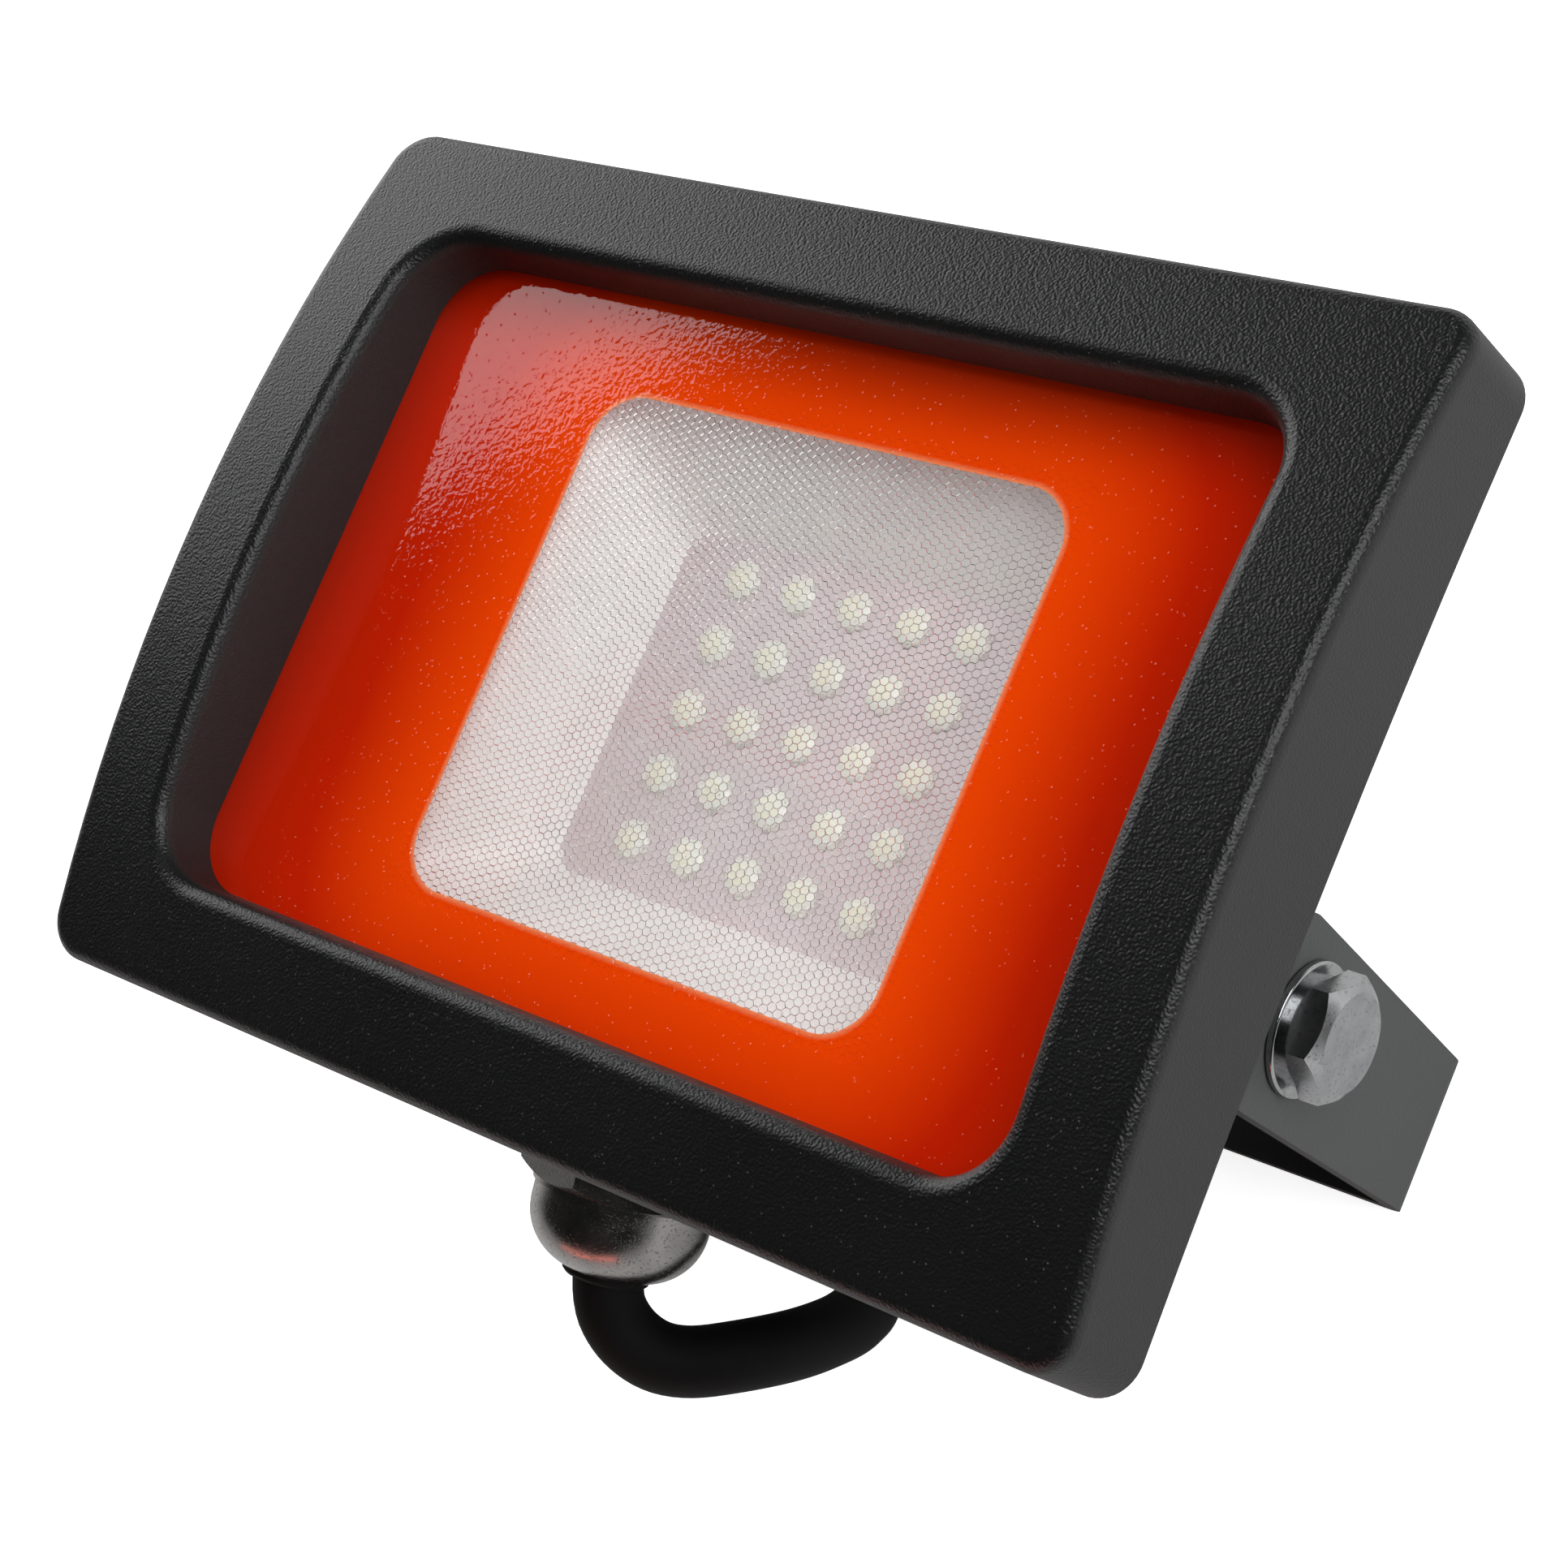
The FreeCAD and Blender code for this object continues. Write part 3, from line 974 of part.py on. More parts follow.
front_frame()
rear_housing()
glass_and_seal()
light_engine()
reflector()
driver()
bracket()
pivot_side("right", 1)
pivot_side("left", -1)
gland()
screws("bezel_screws", four(flange_screw_x, flange_screw_y), flange_back, "frame_screw_length", downwards=False)
cable()
doc.recompute()

NODES = [
    "bracket", "rear_housing", "front_bezel", "bezel_screws", "front_glass", "glass_gasket", "reflector",
    "mounting_plate", "plate_screws", "led_board", "led_chips", "board_screws", "driver_board", "driver_screws",
    "transformer", "mains_capacitor", "output_capacitor", "choke", "terminal_block", "earth_screw",
    "gland_body", "gland_seal", "gland_dome_nut", "gland_insert", "pivot_bolt_left", "pivot_bolt_right",
    "flat_washer_left", "flat_washer_right", "cord_lead", "core_brown", "core_blue", "core_earth",
]

faults = [item.Name for item in doc.Objects if "Invalid" in item.State or "Error" in item.State]
for node in NODES:
    shape = doc.getObjectsByLabel(node)[0].Shape
    if shape.isNull() or not shape.isValid() or not shape.Solids:
        faults.append(node)
if faults:
    raise RuntimeError("not built: " + ", ".join(faults))

os.makedirs("parts", exist_ok=True)
for node in NODES:
    shape = doc.getObjectsByLabel(node)[0].Shape
    shape.exportStep("parts/%s.step" % node)
    box = shape.BoundBox
    print("%-18s %2d solid, %9.1f mm3, X %.1f %.1f, Y %.1f %.1f, Z %.1f %.1f"
          % (node, len(shape.Solids), shape.Volume, box.XMin, box.XMax, box.YMin, box.YMax, box.ZMin, box.ZMax))
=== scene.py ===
# %% [markdown]
# # A small LED flood light, dressed for a photograph
# This lesson takes a flood light that was built in CAD and gives it its looks: a lead, a printed
# and patterned pane, light chips, powder coat, plated steel and a white studio. The CAD model
# comes in as a fixed frame. Nothing in it is moved, so everything added here is drawn in metres in
# the same place.

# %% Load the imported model
import math

import bmesh
import bpy
from mathutils import Matrix, Vector


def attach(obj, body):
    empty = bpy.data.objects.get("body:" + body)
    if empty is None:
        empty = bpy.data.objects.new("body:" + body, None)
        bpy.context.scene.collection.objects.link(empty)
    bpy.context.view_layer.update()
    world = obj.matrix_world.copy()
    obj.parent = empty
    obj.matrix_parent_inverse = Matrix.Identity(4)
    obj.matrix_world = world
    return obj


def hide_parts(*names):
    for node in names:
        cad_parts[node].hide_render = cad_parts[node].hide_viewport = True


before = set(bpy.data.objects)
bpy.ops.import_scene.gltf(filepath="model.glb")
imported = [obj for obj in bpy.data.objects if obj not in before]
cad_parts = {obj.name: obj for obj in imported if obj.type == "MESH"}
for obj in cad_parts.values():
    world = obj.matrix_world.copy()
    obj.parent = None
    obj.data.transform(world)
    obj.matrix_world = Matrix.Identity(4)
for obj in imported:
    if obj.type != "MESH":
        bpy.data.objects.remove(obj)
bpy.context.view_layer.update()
MM = 0.001
print("pieces in the frame:", len(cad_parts))

# %% [markdown]
# ## The camera
# The camera comes first, because everything else is judged through it. The picture was taken with
# a long lens from the right and above. The three directions below are the camera's right, up and
# backward axes, and Blender's camera wants exactly those as the columns of its matrix.

# %% Camera
LENS_MM = 75.56
SENSOR_MM = 36.0
NEAREST_SEEN = 0.01
CAMERA_PLACE = Vector((181.18, -28.45, 274.76)) * MM
CAMERA_RIGHT = Vector((0.7519, 0.3858, -0.5346))
CAMERA_UP = Vector((-0.2375, 0.9150, 0.3262))
CAMERA_BACK = Vector((0.6150, -0.1183, 0.7796))

camera = bpy.data.objects.new("camera", bpy.data.cameras.new("camera"))
bpy.context.scene.collection.objects.link(camera)
camera.data.sensor_width = SENSOR_MM
camera.data.lens = LENS_MM
camera.data.clip_start = NEAREST_SEEN
turned = Matrix((CAMERA_RIGHT, CAMERA_UP, CAMERA_BACK)).transposed().to_4x4()
camera.matrix_world = Matrix.Translation(CAMERA_PLACE) @ turned
bpy.context.scene.camera = camera
print("camera is", round(CAMERA_PLACE.length, 3), "m from the strap")

# %% [markdown]
# ## The lead
# The real lead is a round rubber flex. It leaves the gland downwards, turns back on itself because
# it is limp, and runs behind the lamp to a bare end. A NURBS curve is the natural tool: a few
# points pull it along, and it bends smoothly between them as a flex does. The bevel is a circle
# with a radius of one metre, which each point's own radius shrinks to the cable's. The order and
# the end setting are given after the points, because Blender only takes them once the spline is
# long enough.

# %% Lead
CABLE_RADIUS = 3.2 * MM
CABLE_ROUTE = [
    (0.0, -36.25, 42.27), (0.0, -41.05, 41.07), (2.2, -44.4, 38.1), (6.0, -45.0, 35.0),
    (11.2, -41.3, 31.5), (12.3, -38.2, 25.1), (10.8, -34.6, 16.8), (5.9, -31.1, 9.9),
    (-3.3, -28.1, 4.5), (-15.0, -27.5, 3.4), (-29.5, -28.1, 3.4), (-44.5, -26.1, 3.4),
    (-58.5, -21.8, 3.4), (-70.0, -13.7, 3.4), (-77.0, -1.7, 3.4), (-78.6, 11.8, 3.4),
    (-75.4, 24.8, 3.4), (-67.5, 35.8, 3.4), (-56.0, 43.6, 3.4), (-43.5, 47.8, 3.4),
]
lead_curve = bpy.data.curves.new("supply_lead", "CURVE")
lead_curve.dimensions = "3D"
lead_curve.bevel_depth = 1.0
lead_curve.bevel_resolution = 8
lead_curve.resolution_u = 8
lead_curve.use_fill_caps = True
spline = lead_curve.splines.new("NURBS")
spline.points.add(len(CABLE_ROUTE) - 1)
for point, place in zip(spline.points, CABLE_ROUTE):
    point.co = (*(Vector(place) * MM), 1.0)
    point.radius = CABLE_RADIUS
spline.order_u = 3
spline.use_endpoint_u = True
lead = bpy.data.objects.new("supply_lead", lead_curve)
bpy.context.scene.collection.objects.link(lead)
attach(lead, "head")
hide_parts("cord_lead")
CORE_NAMES = ["core_brown", "core_blue", "core_earth"]
print("lead has", len(CABLE_ROUTE), "control points")

# %% [markdown]
# ## Small helpers
# Colours are noted as the hex values that a screen shows, while the shader counts light, so one
# function turns the one into the other. Another adds a node to a material: its settings are given
# by name, and each input gets either a value or the output of another node. The rest are what
# nearly every finish here is made of: grain, cells, bumps, blended colours and ranges of values.

# %% Helpers for colours and nodes


def light(hex_colour):
    """The linear colour of an sRGB hex value such as #1c1c1d."""
    parts = [int(hex_colour[i:i + 2], 16) / 255 for i in (1, 3, 5)]
    return (*[p / 12.92 if p <= 0.04045 else ((p + 0.055) / 1.055) ** 2.4 for p in parts], 1.0)


def add(tree, kind, inputs=None, **settings):
    """A new node in the tree, with its settings and with its inputs set or linked."""
    node = tree.nodes.new("ShaderNode" + kind)
    for name, value in settings.items():
        setattr(node, name, value)
    for name, value in (inputs or {}).items():
        if isinstance(value, bpy.types.NodeSocket):
            tree.links.new(value, node.inputs[name])
        else:
            node.inputs[name].default_value = value
    return node


def new_material(name):
    """An empty material, its node tree, its output node and its own coordinates in metres."""
    material = bpy.data.materials.new(name)
    material.use_nodes = True
    tree = material.node_tree
    tree.nodes.clear()
    output = add(tree, "OutputMaterial")
    place = add(tree, "TexCoord").outputs["Object"]
    return material, tree, output, place


def grain(tree, place, size_mm, detail=2.0, roughness=0.5):
    """Noise whose lumps are about size_mm across."""
    return add(tree, "TexNoise", {"Vector": place, "Scale": 1 / (size_mm * MM),
                                  "Detail": detail, "Roughness": roughness}).outputs["Fac"]


def cells(tree, place, size_mm):
    """The distance to the middle of the nearest cell, in cells about size_mm across."""
    return add(tree, "TexVoronoi", {"Vector": place,
                                    "Scale": 1 / (size_mm * MM)}).outputs["Distance"]


def bump(tree, height, depth_mm):
    """A normal that is tilted by a height pattern of the given depth."""
    return add(tree, "Bump", {"Height": height, "Distance": depth_mm * MM}).outputs["Normal"]


def two_tones(tree, value, low, high, colours):
    """One colour where the value is low, the other where it is high, and a blend between."""
    node = add(tree, "ValToRGB", {"Fac": value})
    for element, position, colour in zip(node.color_ramp.elements, (low, high), colours):
        element.position = position
        element.color = light(colour)
    return node.outputs["Color"]


def mix(tree, share, first, second):
    """The first colour, covered by a share of the second."""
    return add(tree, "Mix", {"Factor": share, "A": first, "B": second},
               data_type="RGBA").outputs["Result"]


def height_of(tree, vector):
    """How high a place is, or how far up a direction points."""
    return add(tree, "SeparateXYZ", {"Vector": vector}).outputs["Z"]


def either_ray(tree, first, second):
    """1 for rays of either kind and 0 for all others."""
    rays = add(tree, "LightPath").outputs
    return add(tree, "Math", {0: rays[first], 1: rays[second]}, operation="MAXIMUM").outputs[0]


def spread(tree, value, low, high, to_low=0.0, to_high=1.0):
    """The value moved from one range to another and held inside it."""
    return add(tree, "MapRange", {"Value": value, "From Min": low, "From Max": high,
                                  "To Min": to_low, "To Max": to_high}).outputs["Result"]


print("white is", light("#ffffff")[:3])

# %% [markdown]
# ## Powder coat
# The head is cast aluminium with a textured polyester powder coat. Sprayed as dust and baked, it
# flows together into lumps about a quarter of a millimetre across, which catch a lamp as a fine
# sparkle. A dark, fairly rough plastic-like shader with one noise as its height gives the lumps,
# and lighter specks are painted into its colour as painted sparkle. Upright faces are painted
# paler, which is painted light, and are made duller; which way a face looks is read from its
# normal. The bracket has a smoother grey coat.

# %% Powder coat
COAT_CLOUD_MM = 22.0
# painted sparkle: cells of lighter colour stand in for glints of the lumps
SPECK_CELL_MM = 0.8
SPECK_CORE, SPECK_EDGE = 0.07, 0.11
SPECK_COVER = 0.6
# upright faces get painted light, a paler colour, and more roughness
# size of the normal's Z, up to which a face counts as upright and from which as lying
UPRIGHT, LYING = 0.25, 0.7
WALL_EXTRA_ROUGHNESS = 0.2
COAT_GLOSS = 0.42


def textured_powder_coat(name, colours, painted_wall_light, painted_sparkle, lump_mm, depth_mm, roughness):
    """A lumpy coat with painted sparkle specks, and painted light that makes upright faces paler;
    they are also duller.
    """
    material, tree, output, place = new_material(name)
    lumps = grain(tree, place, lump_mm, detail=0.5)
    # painted sparkle: lighter specks in the coat's colour
    specks = spread(tree, cells(tree, place, SPECK_CELL_MM), SPECK_CORE, SPECK_EDGE,
                    SPECK_COVER, 0.0)
    tone = two_tones(tree, grain(tree, place, COAT_CLOUD_MM), 0.3, 0.7, colours)
    facing = height_of(tree, add(tree, "TexCoord").outputs["Normal"])
    level = add(tree, "Math", {0: facing}, operation="ABSOLUTE").outputs[0]
    # painted light: upright faces are given a paler colour
    wall = spread(tree, level, UPRIGHT, LYING, 1.0, 0.0)
    skin = mix(tree, wall, mix(tree, specks, tone, light(painted_sparkle)), light(painted_wall_light))
    rough = spread(tree, wall, 0.0, 1.0, roughness, roughness + WALL_EXTRA_ROUGHNESS)
    shader = add(tree, "BsdfPrincipled", {"Base Color": skin, "Roughness": rough, "IOR": 1.5,
                                          "Specular IOR Level": COAT_GLOSS,
                                          "Normal": bump(tree, lumps, depth_mm)})
    tree.links.new(shader.outputs[0], output.inputs["Surface"])
    return material


# the colour after the pair is painted light for upright faces, the next one is painted sparkle
cast_coat = textured_powder_coat("textured_black_powder_coat", ("#0d0e0e", "#111212"), "#1f1f1f",
                                 "#6a6a68", lump_mm=0.25, depth_mm=0.072, roughness=0.35)
strap_coat = textured_powder_coat("satin_grey_powder_coat", ("#2b2c2c", "#303131"), "#3c3d3d",
                                  "#505050", lump_mm=0.34, depth_mm=0.04, roughness=0.4)
print("coats:", cast_coat.name, strap_coat.name)

# %% [markdown]
# ## Plated metal
# The gland is brass with a satin nickel plate, and the bolts are steel with bright zinc. Both are
# metals, so the shader's colour is that of the mirror image itself. Turning and drawing leave fine
# lines, which a stretched noise gives. The plating keeps small pits, which are a shade darker and
# sink in where a second noise is low, and a third noise makes the shine uneven.

# %% Plated metals
DRAWN_LINE_MM = 0.12
PLATE_CLOUD_MM = 2.5
PIT_CORE, PIT_EDGE = 0.34, 0.42
SHINIEST, DULLEST = 0.8, 1.3


def plated_metal(name, colours, pit_colour, roughness, line_stretch, pit_mm, depth_mm):
    """A metal skin with drawn lines, small pits and an uneven shine."""
    material, tree, output, place = new_material(name)
    stretched = add(tree, "Mapping", {"Vector": place, "Scale": line_stretch}).outputs["Vector"]
    lines = grain(tree, stretched, DRAWN_LINE_MM)
    cloud = grain(tree, place, PLATE_CLOUD_MM, detail=3.0)
    unpitted = spread(tree, grain(tree, place, pit_mm, roughness=0.7), PIT_CORE, PIT_EDGE)
    clean = two_tones(tree, cloud, 0.35, 0.65, colours)
    tint = mix(tree, unpitted, light(pit_colour), clean)
    height = add(tree, "Math", {0: lines, 1: unpitted}, operation="ADD").outputs[0]
    rough = spread(tree, cloud, 0.3, 0.7, roughness * SHINIEST, roughness * DULLEST)
    shader = add(tree, "BsdfPrincipled", {"Base Color": tint, "Metallic": 1.0, "Roughness": rough,
                                          "Normal": bump(tree, height, depth_mm)})
    tree.links.new(shader.outputs[0], output.inputs["Surface"])
    return material


nickel_plate = plated_metal("satin_nickel_plate", ("#8f8d8b", "#9c9a97"), "#6c6a68", 0.22,
                            (1, 1, 1), pit_mm=0.3, depth_mm=0.008)
zinc_plate = plated_metal("bright_zinc_plate", ("#a3a5a7", "#b4b5b6"), "#909193", 0.17,
                          (0.15, 1, 1), pit_mm=0.4, depth_mm=0.003)
sheet_aluminium = plated_metal("mill_finish_aluminium", ("#c4c6c8", "#d0d1d2"), "#b0b2b4", 0.35,
                               (0.05, 1, 1), pit_mm=0.5, depth_mm=0.003)
print("metals:", nickel_plate.name, zinc_plate.name, sheet_aluminium.name)

# %% [markdown]
# ## Rubber, plastics and boards
# The flex and the gland's insert are matt black rubber. Inside the head sit a moulded white
# reflector, a white light board and a green driver board. Each is a plain dielectric, told apart
# by its colour, by how rough it is and by a faint grain in its surface.

# %% Rubber and plastics
MOULDED_CLOUD_MM = 6.0


def moulded(name, colours, roughness, lump_mm, depth_mm, specular=0.5):
    """Rubber, plastic, ceramic or solder mask: two close tones and a faint grain."""
    material, tree, output, place = new_material(name)
    lumps = grain(tree, place, lump_mm)
    tone = two_tones(tree, grain(tree, place, MOULDED_CLOUD_MM), 0.35, 0.65, colours)
    shader = add(tree, "BsdfPrincipled", {"Base Color": tone, "Roughness": roughness, "IOR": 1.5,
                                          "Specular IOR Level": specular,
                                          "Normal": bump(tree, lumps, depth_mm)})
    tree.links.new(shader.outputs[0], output.inputs["Surface"])
    return material


rubber = moulded("extruded_black_rubber", ("#020202", "#040404"), 0.75, 0.3, 0.006, specular=0.25)
silicone = moulded("moulded_black_silicone", ("#101010", "#161616"), 0.55, 0.5, 0.004)
reflector_white = moulded("moulded_white_polycarbonate", ("#efedeb", "#f4f2f0"), 0.38, 0.6, 0.003)
board_white = moulded("white_solder_mask", ("#d2c6c8", "#d8cccf"), 0.4, 0.5, 0.003)
board_green = moulded("green_solder_mask", ("#1c5a34", "#22683d"), 0.35, 0.5, 0.003)
dark_plastic = moulded("moulded_black_nylon", ("#191a1b", "#232425"), 0.5, 0.4, 0.006)
can_sleeve = moulded("blue_capacitor_sleeve", ("#1d2746", "#222e52"), 0.32, 0.8, 0.002)
core_skins = {
    "core_brown": moulded("brown_pvc_insulation", ("#5a2f18", "#64351b"), 0.4, 0.4, 0.003),
    "core_blue": moulded("blue_pvc_insulation", ("#1d4c9c", "#2356ab"), 0.4, 0.4, 0.003),
}
print("insulation for:", list(core_skins))

# %% [markdown]
# ## Earth core
# The earth core's insulation is green with a yellow stripe along it. A wave texture across the
# core would turn with its bends. The core lies level, so the stripe is simply its upper side, and
# the height around the core's own line tells where that begins.

# %% Green and yellow insulation
STRIPE_LOW, STRIPE_HIGH = 3.1 * MM, 3.5 * MM
core_material, tree, output, place = new_material("green_yellow_pvc_insulation")
stripe = spread(tree, height_of(tree, place), STRIPE_LOW, STRIPE_HIGH)
skin = add(tree, "BsdfPrincipled", {"Base Color": mix(tree, stripe, light("#2c7d35"),
                                                      light("#e2cf2b")),
                                    "Roughness": 0.4, "IOR": 1.5,
                                    "Normal": bump(tree, grain(tree, place, 0.4), 0.003)})
tree.links.new(skin.outputs[0], output.inputs["Surface"])
core_skins["core_earth"] = core_material
print("insulation for:", list(core_skins))

# %% [markdown]
# ## The pane's shape
# The real pane is 4 mm toughened glass. Its back is rolled with rows of tiny lenses, 0.77 mm
# apart, that break up the view of the light chips. They are real geometry here: each lens is an
# almost flat cell inside a thin steep rim, and it shares its six corners with its neighbours.
# Whole numbers name the corners, so that neighbours find the same one and the pane stays closed.
# The faces are shaded flat, because then the rims flash as sharp strokes.

# %% Sizes of the pane, in millimetres
GLASS_LOW, GLASS_HIGH = 56.7, 60.7
GLASS_HALF = (51.2, 38.5)
GLASS_CORNER = 5.0
GLASS_MIDDLE = (0.0, 10.85)
EDGE_ROUND, EDGE_HALFWAY = 0.5, 0.15
WINDOW_MIDDLE = (0.7, 10.05)
WINDOW_HALF = (26.9, 24.5)
WINDOW_CORNER = 5.0
LENS_PITCH = 0.77
LENS_DEPTH = 0.038
LENS_FLAT = 0.88
RIM_DEPTH = 0.85 * LENS_DEPTH
LENS_FIELD = (28.3, 25.9)
COLUMNS = int(2 * LENS_FIELD[0] / LENS_PITCH)
ROWS = int(2 * LENS_FIELD[1] / LENS_PITCH)
# corners of a lens, in thirds of the pitch across and quarters of it up
CORNERS = [(2, 0), (1, 2), (-1, 2), (-2, 0), (-1, -2), (1, -2)]
FRONT, BACK = 0, 1
print("lenses:", COLUMNS * ROWS)

# %% Lenses
pane = bmesh.new()
shared = {}


def rounded_outline(middle, half, corner, steps=8):
    """Points round a rectangle with rounded corners, anticlockwise."""
    points = []
    for sign_x, sign_y, start in ((1, 1, 0), (-1, 1, 90), (-1, -1, 180), (1, -1, 270)):
        for step in range(steps + 1):
            angle = math.radians(start + 90 * step / steps)
            points.append((middle[0] + sign_x * (half[0] - corner) + corner * math.cos(angle),
                           middle[1] + sign_y * (half[1] - corner) + corner * math.sin(angle)))
    return points


def make_object(name, mesh, smooth=True):
    """An object from a bmesh, which is freed."""
    data = bpy.data.meshes.new(name)
    mesh.to_mesh(data)
    mesh.free()
    for face in data.polygons:
        face.use_smooth = smooth
    thing = bpy.data.objects.new(name, data)
    bpy.context.scene.collection.objects.link(thing)
    return thing


def lattice_point(across, up):
    """A point of the back, in thirds of the pitch across and quarters of it up."""
    return Vector((WINDOW_MIDDLE[0] + (across - 1.5 * (COLUMNS - 1)) * LENS_PITCH / 3,
                   WINDOW_MIDDLE[1] + (up - 2 * (ROWS - 0.5)) * LENS_PITCH / 4, GLASS_LOW))


def corner_point(across, up):
    """A lens's corner, one vertex for all the lenses that meet there."""
    if (across, up) not in shared:
        shared[across, up] = pane.verts.new(lattice_point(across, up) * MM)
    return shared[across, up]


def pane_face(corners, side=FRONT):
    """A face of the pane, on its front and edges or on its back."""
    pane.faces.new(corners).material_index = side


for column in range(COLUMNS):
    for row in range(ROWS):
        across, up = 3 * column, 4 * row + 2 * (column % 2)
        middle = lattice_point(across, up)
        rim = [corner_point(across + a, up + b) for a, b in CORNERS]
        tip = pane.verts.new((middle - Vector((0, 0, LENS_DEPTH))) * MM)
        ring = [pane.verts.new(middle.lerp(lattice_point(across + a, up + b), LENS_FLAT) * MM
                               - Vector((0, 0, RIM_DEPTH * MM))) for a, b in CORNERS]
        for i in range(6):
            j = (i + 1) % 6
            pane_face([tip, ring[j], ring[i]], BACK)
            pane_face([ring[i], ring[j], rim[j], rim[i]], BACK)
print("faces of the lenses:", len(pane.faces))

# %% [markdown]
# The pane's outline is carried up from the back to the front, whose edge is ground round. The flat
# rest of the back is one ring of faces between the lens field's ragged border and the outline.
# Blender fills such a ring by itself when it is given both borders as edges.

# %% Rest of the pane
lens_border = [edge for edge in pane.edges if len(edge.link_faces) == 1]
loops = []
for inset, z in ((0.0, GLASS_LOW), (0.0, GLASS_HIGH - EDGE_ROUND),
                 (EDGE_HALFWAY, GLASS_HIGH - EDGE_HALFWAY), (EDGE_ROUND, GLASS_HIGH)):
    half = (GLASS_HALF[0] - inset, GLASS_HALF[1] - inset)
    loops.append([pane.verts.new(Vector((x, y, z)) * MM) for x, y in
                  rounded_outline(GLASS_MIDDLE, half, GLASS_CORNER - inset)])
count = len(loops[0])
for under, over in zip(loops, loops[1:]):
    for i in range(count):
        pane_face([under[i], under[(i + 1) % count], over[(i + 1) % count], over[i]])
pane_face(loops[-1])
outer_border = [pane.edges.get((loops[0][i], loops[0][(i + 1) % count])) for i in range(count)]
filled = bmesh.ops.triangle_fill(pane, use_beauty=True, edges=lens_border + outer_border)
for part in filled["geom"]:
    if isinstance(part, bmesh.types.BMFace):
        part.material_index = BACK
bmesh.ops.recalc_face_normals(pane, faces=pane.faces)
print("open edges of the pane:", sum(len(edge.link_faces) != 2 for edge in pane.edges))
glass_pane = make_object("glass_pane", pane, smooth=False)
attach(glass_pane, "head")
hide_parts("front_glass")
print("pane faces:", len(glass_pane.data.polygons))

# %% [markdown]
# ## Glass and enamel
# Glass bends the view and mirrors the lamps. Light that only passes through it on the way to the
# reflector would be lost as a caustic, so shadow and diffuse rays meet a clear surface instead.
# The front is flat but softly rippled, which breaks up the edge of a mirrored lamp, and small
# dimples 0.8 mm apart prick the lamp's image with dark pits and throw bright specks beyond its
# edge.

# %% Glass
GLASS_CLEAR = light("#fbfbfb")
RIPPLE_MM, RIPPLE_SHARE = 0.55, 0.45
DIMPLE_CELL_MM = 0.8
DIMPLE_CORE, DIMPLE_EDGE = 0.02, 0.17
DIMPLE_DEPTH_MM = 0.025
SIDE_END, FRONT_START = (GLASS_HIGH - 0.4) * MM, (GLASS_HIGH - 0.2) * MM


def glass_shader(tree, normal=None):
    """Glass for rays that are seen, and a clear surface for light that only passes."""
    inputs = {"Base Color": GLASS_CLEAR, "Roughness": 0.02, "IOR": 1.5, "Transmission Weight": 1.0}
    if normal:
        inputs["Normal"] = normal
    passing = either_ray(tree, "Is Shadow Ray", "Is Diffuse Ray")
    clear = add(tree, "BsdfPrincipled", inputs).outputs[0]
    through = add(tree, "BsdfTransparent", {"Color": GLASS_CLEAR}).outputs[0]
    return add(tree, "MixShader", {0: passing, 1: clear, 2: through}).outputs[0]


glass, tree, output, place = new_material("toughened_dimpled_glass")
ripple = grain(tree, place, RIPPLE_MM, detail=1.0)
dimples = spread(tree, cells(tree, place, DIMPLE_CELL_MM), DIMPLE_CORE, DIMPLE_EDGE)
surface = add(tree, "Math", {0: ripple, 1: RIPPLE_SHARE, 2: dimples},
              operation="MULTIPLY_ADD").outputs[0]
front = spread(tree, height_of(tree, place), SIDE_END, FRONT_START)
front_surface = add(tree, "Math", {0: surface, 1: front}, operation="MULTIPLY").outputs[0]
tree.links.new(glass_shader(tree, bump(tree, front_surface, DIMPLE_DEPTH_MM)),
               output.inputs["Surface"])
print("glass:", glass.name)

# %% [markdown]
# The enamel is an opaque orange-red, screen printed on the back and baked in with the toughening.
# It covers everything outside the window. The shader draws its edge, by the distance from the
# rectangle on which the window's corner circles have their middles. The last half millimetre is
# blended towards a pale orange rim. The ink is painted brighter near the window and deeper further
# out, which is painted light, as if light from the white reflector shone through it.

# %% Enamel
PRINT_BLUR = 0.05
PALE_RIM_WIDTH, PALE_RIM_SHARE = 0.6, 0.6
# painted light: the ink is brightest up to the first distance past the window's edge and deepest
# from the second, in millimetres
PAINTED_GLOW_TO, PAINTED_SHADE_FROM = 1, 13
enamel, tree, output, place = new_material("orange_red_ceramic_enamel")
parts = add(tree, "SeparateXYZ", {"Vector": place}).outputs


def beyond(axis, middle, half):
    """How far a coordinate lies outside a band round the middle, in metres."""
    off = add(tree, "Math", {0: parts[axis], 1: middle * MM}, operation="SUBTRACT").outputs[0]
    size = add(tree, "Math", {0: off}, operation="ABSOLUTE").outputs[0]
    past = add(tree, "Math", {0: size, 1: half * MM}, operation="SUBTRACT").outputs[0]
    return add(tree, "Math", {0: past, 1: 0.0}, operation="MAXIMUM").outputs[0]


from_corners = add(tree, "CombineXYZ", {
    "X": beyond("X", WINDOW_MIDDLE[0], WINDOW_HALF[0] - WINDOW_CORNER),
    "Y": beyond("Y", WINDOW_MIDDLE[1], WINDOW_HALF[1] - WINDOW_CORNER)}).outputs[0]
distance = add(tree, "VectorMath", {0: from_corners}, operation="LENGTH").outputs["Value"]
covered = spread(tree, distance, (WINDOW_CORNER - PRINT_BLUR) * MM,
                 (WINDOW_CORNER + PRINT_BLUR) * MM)
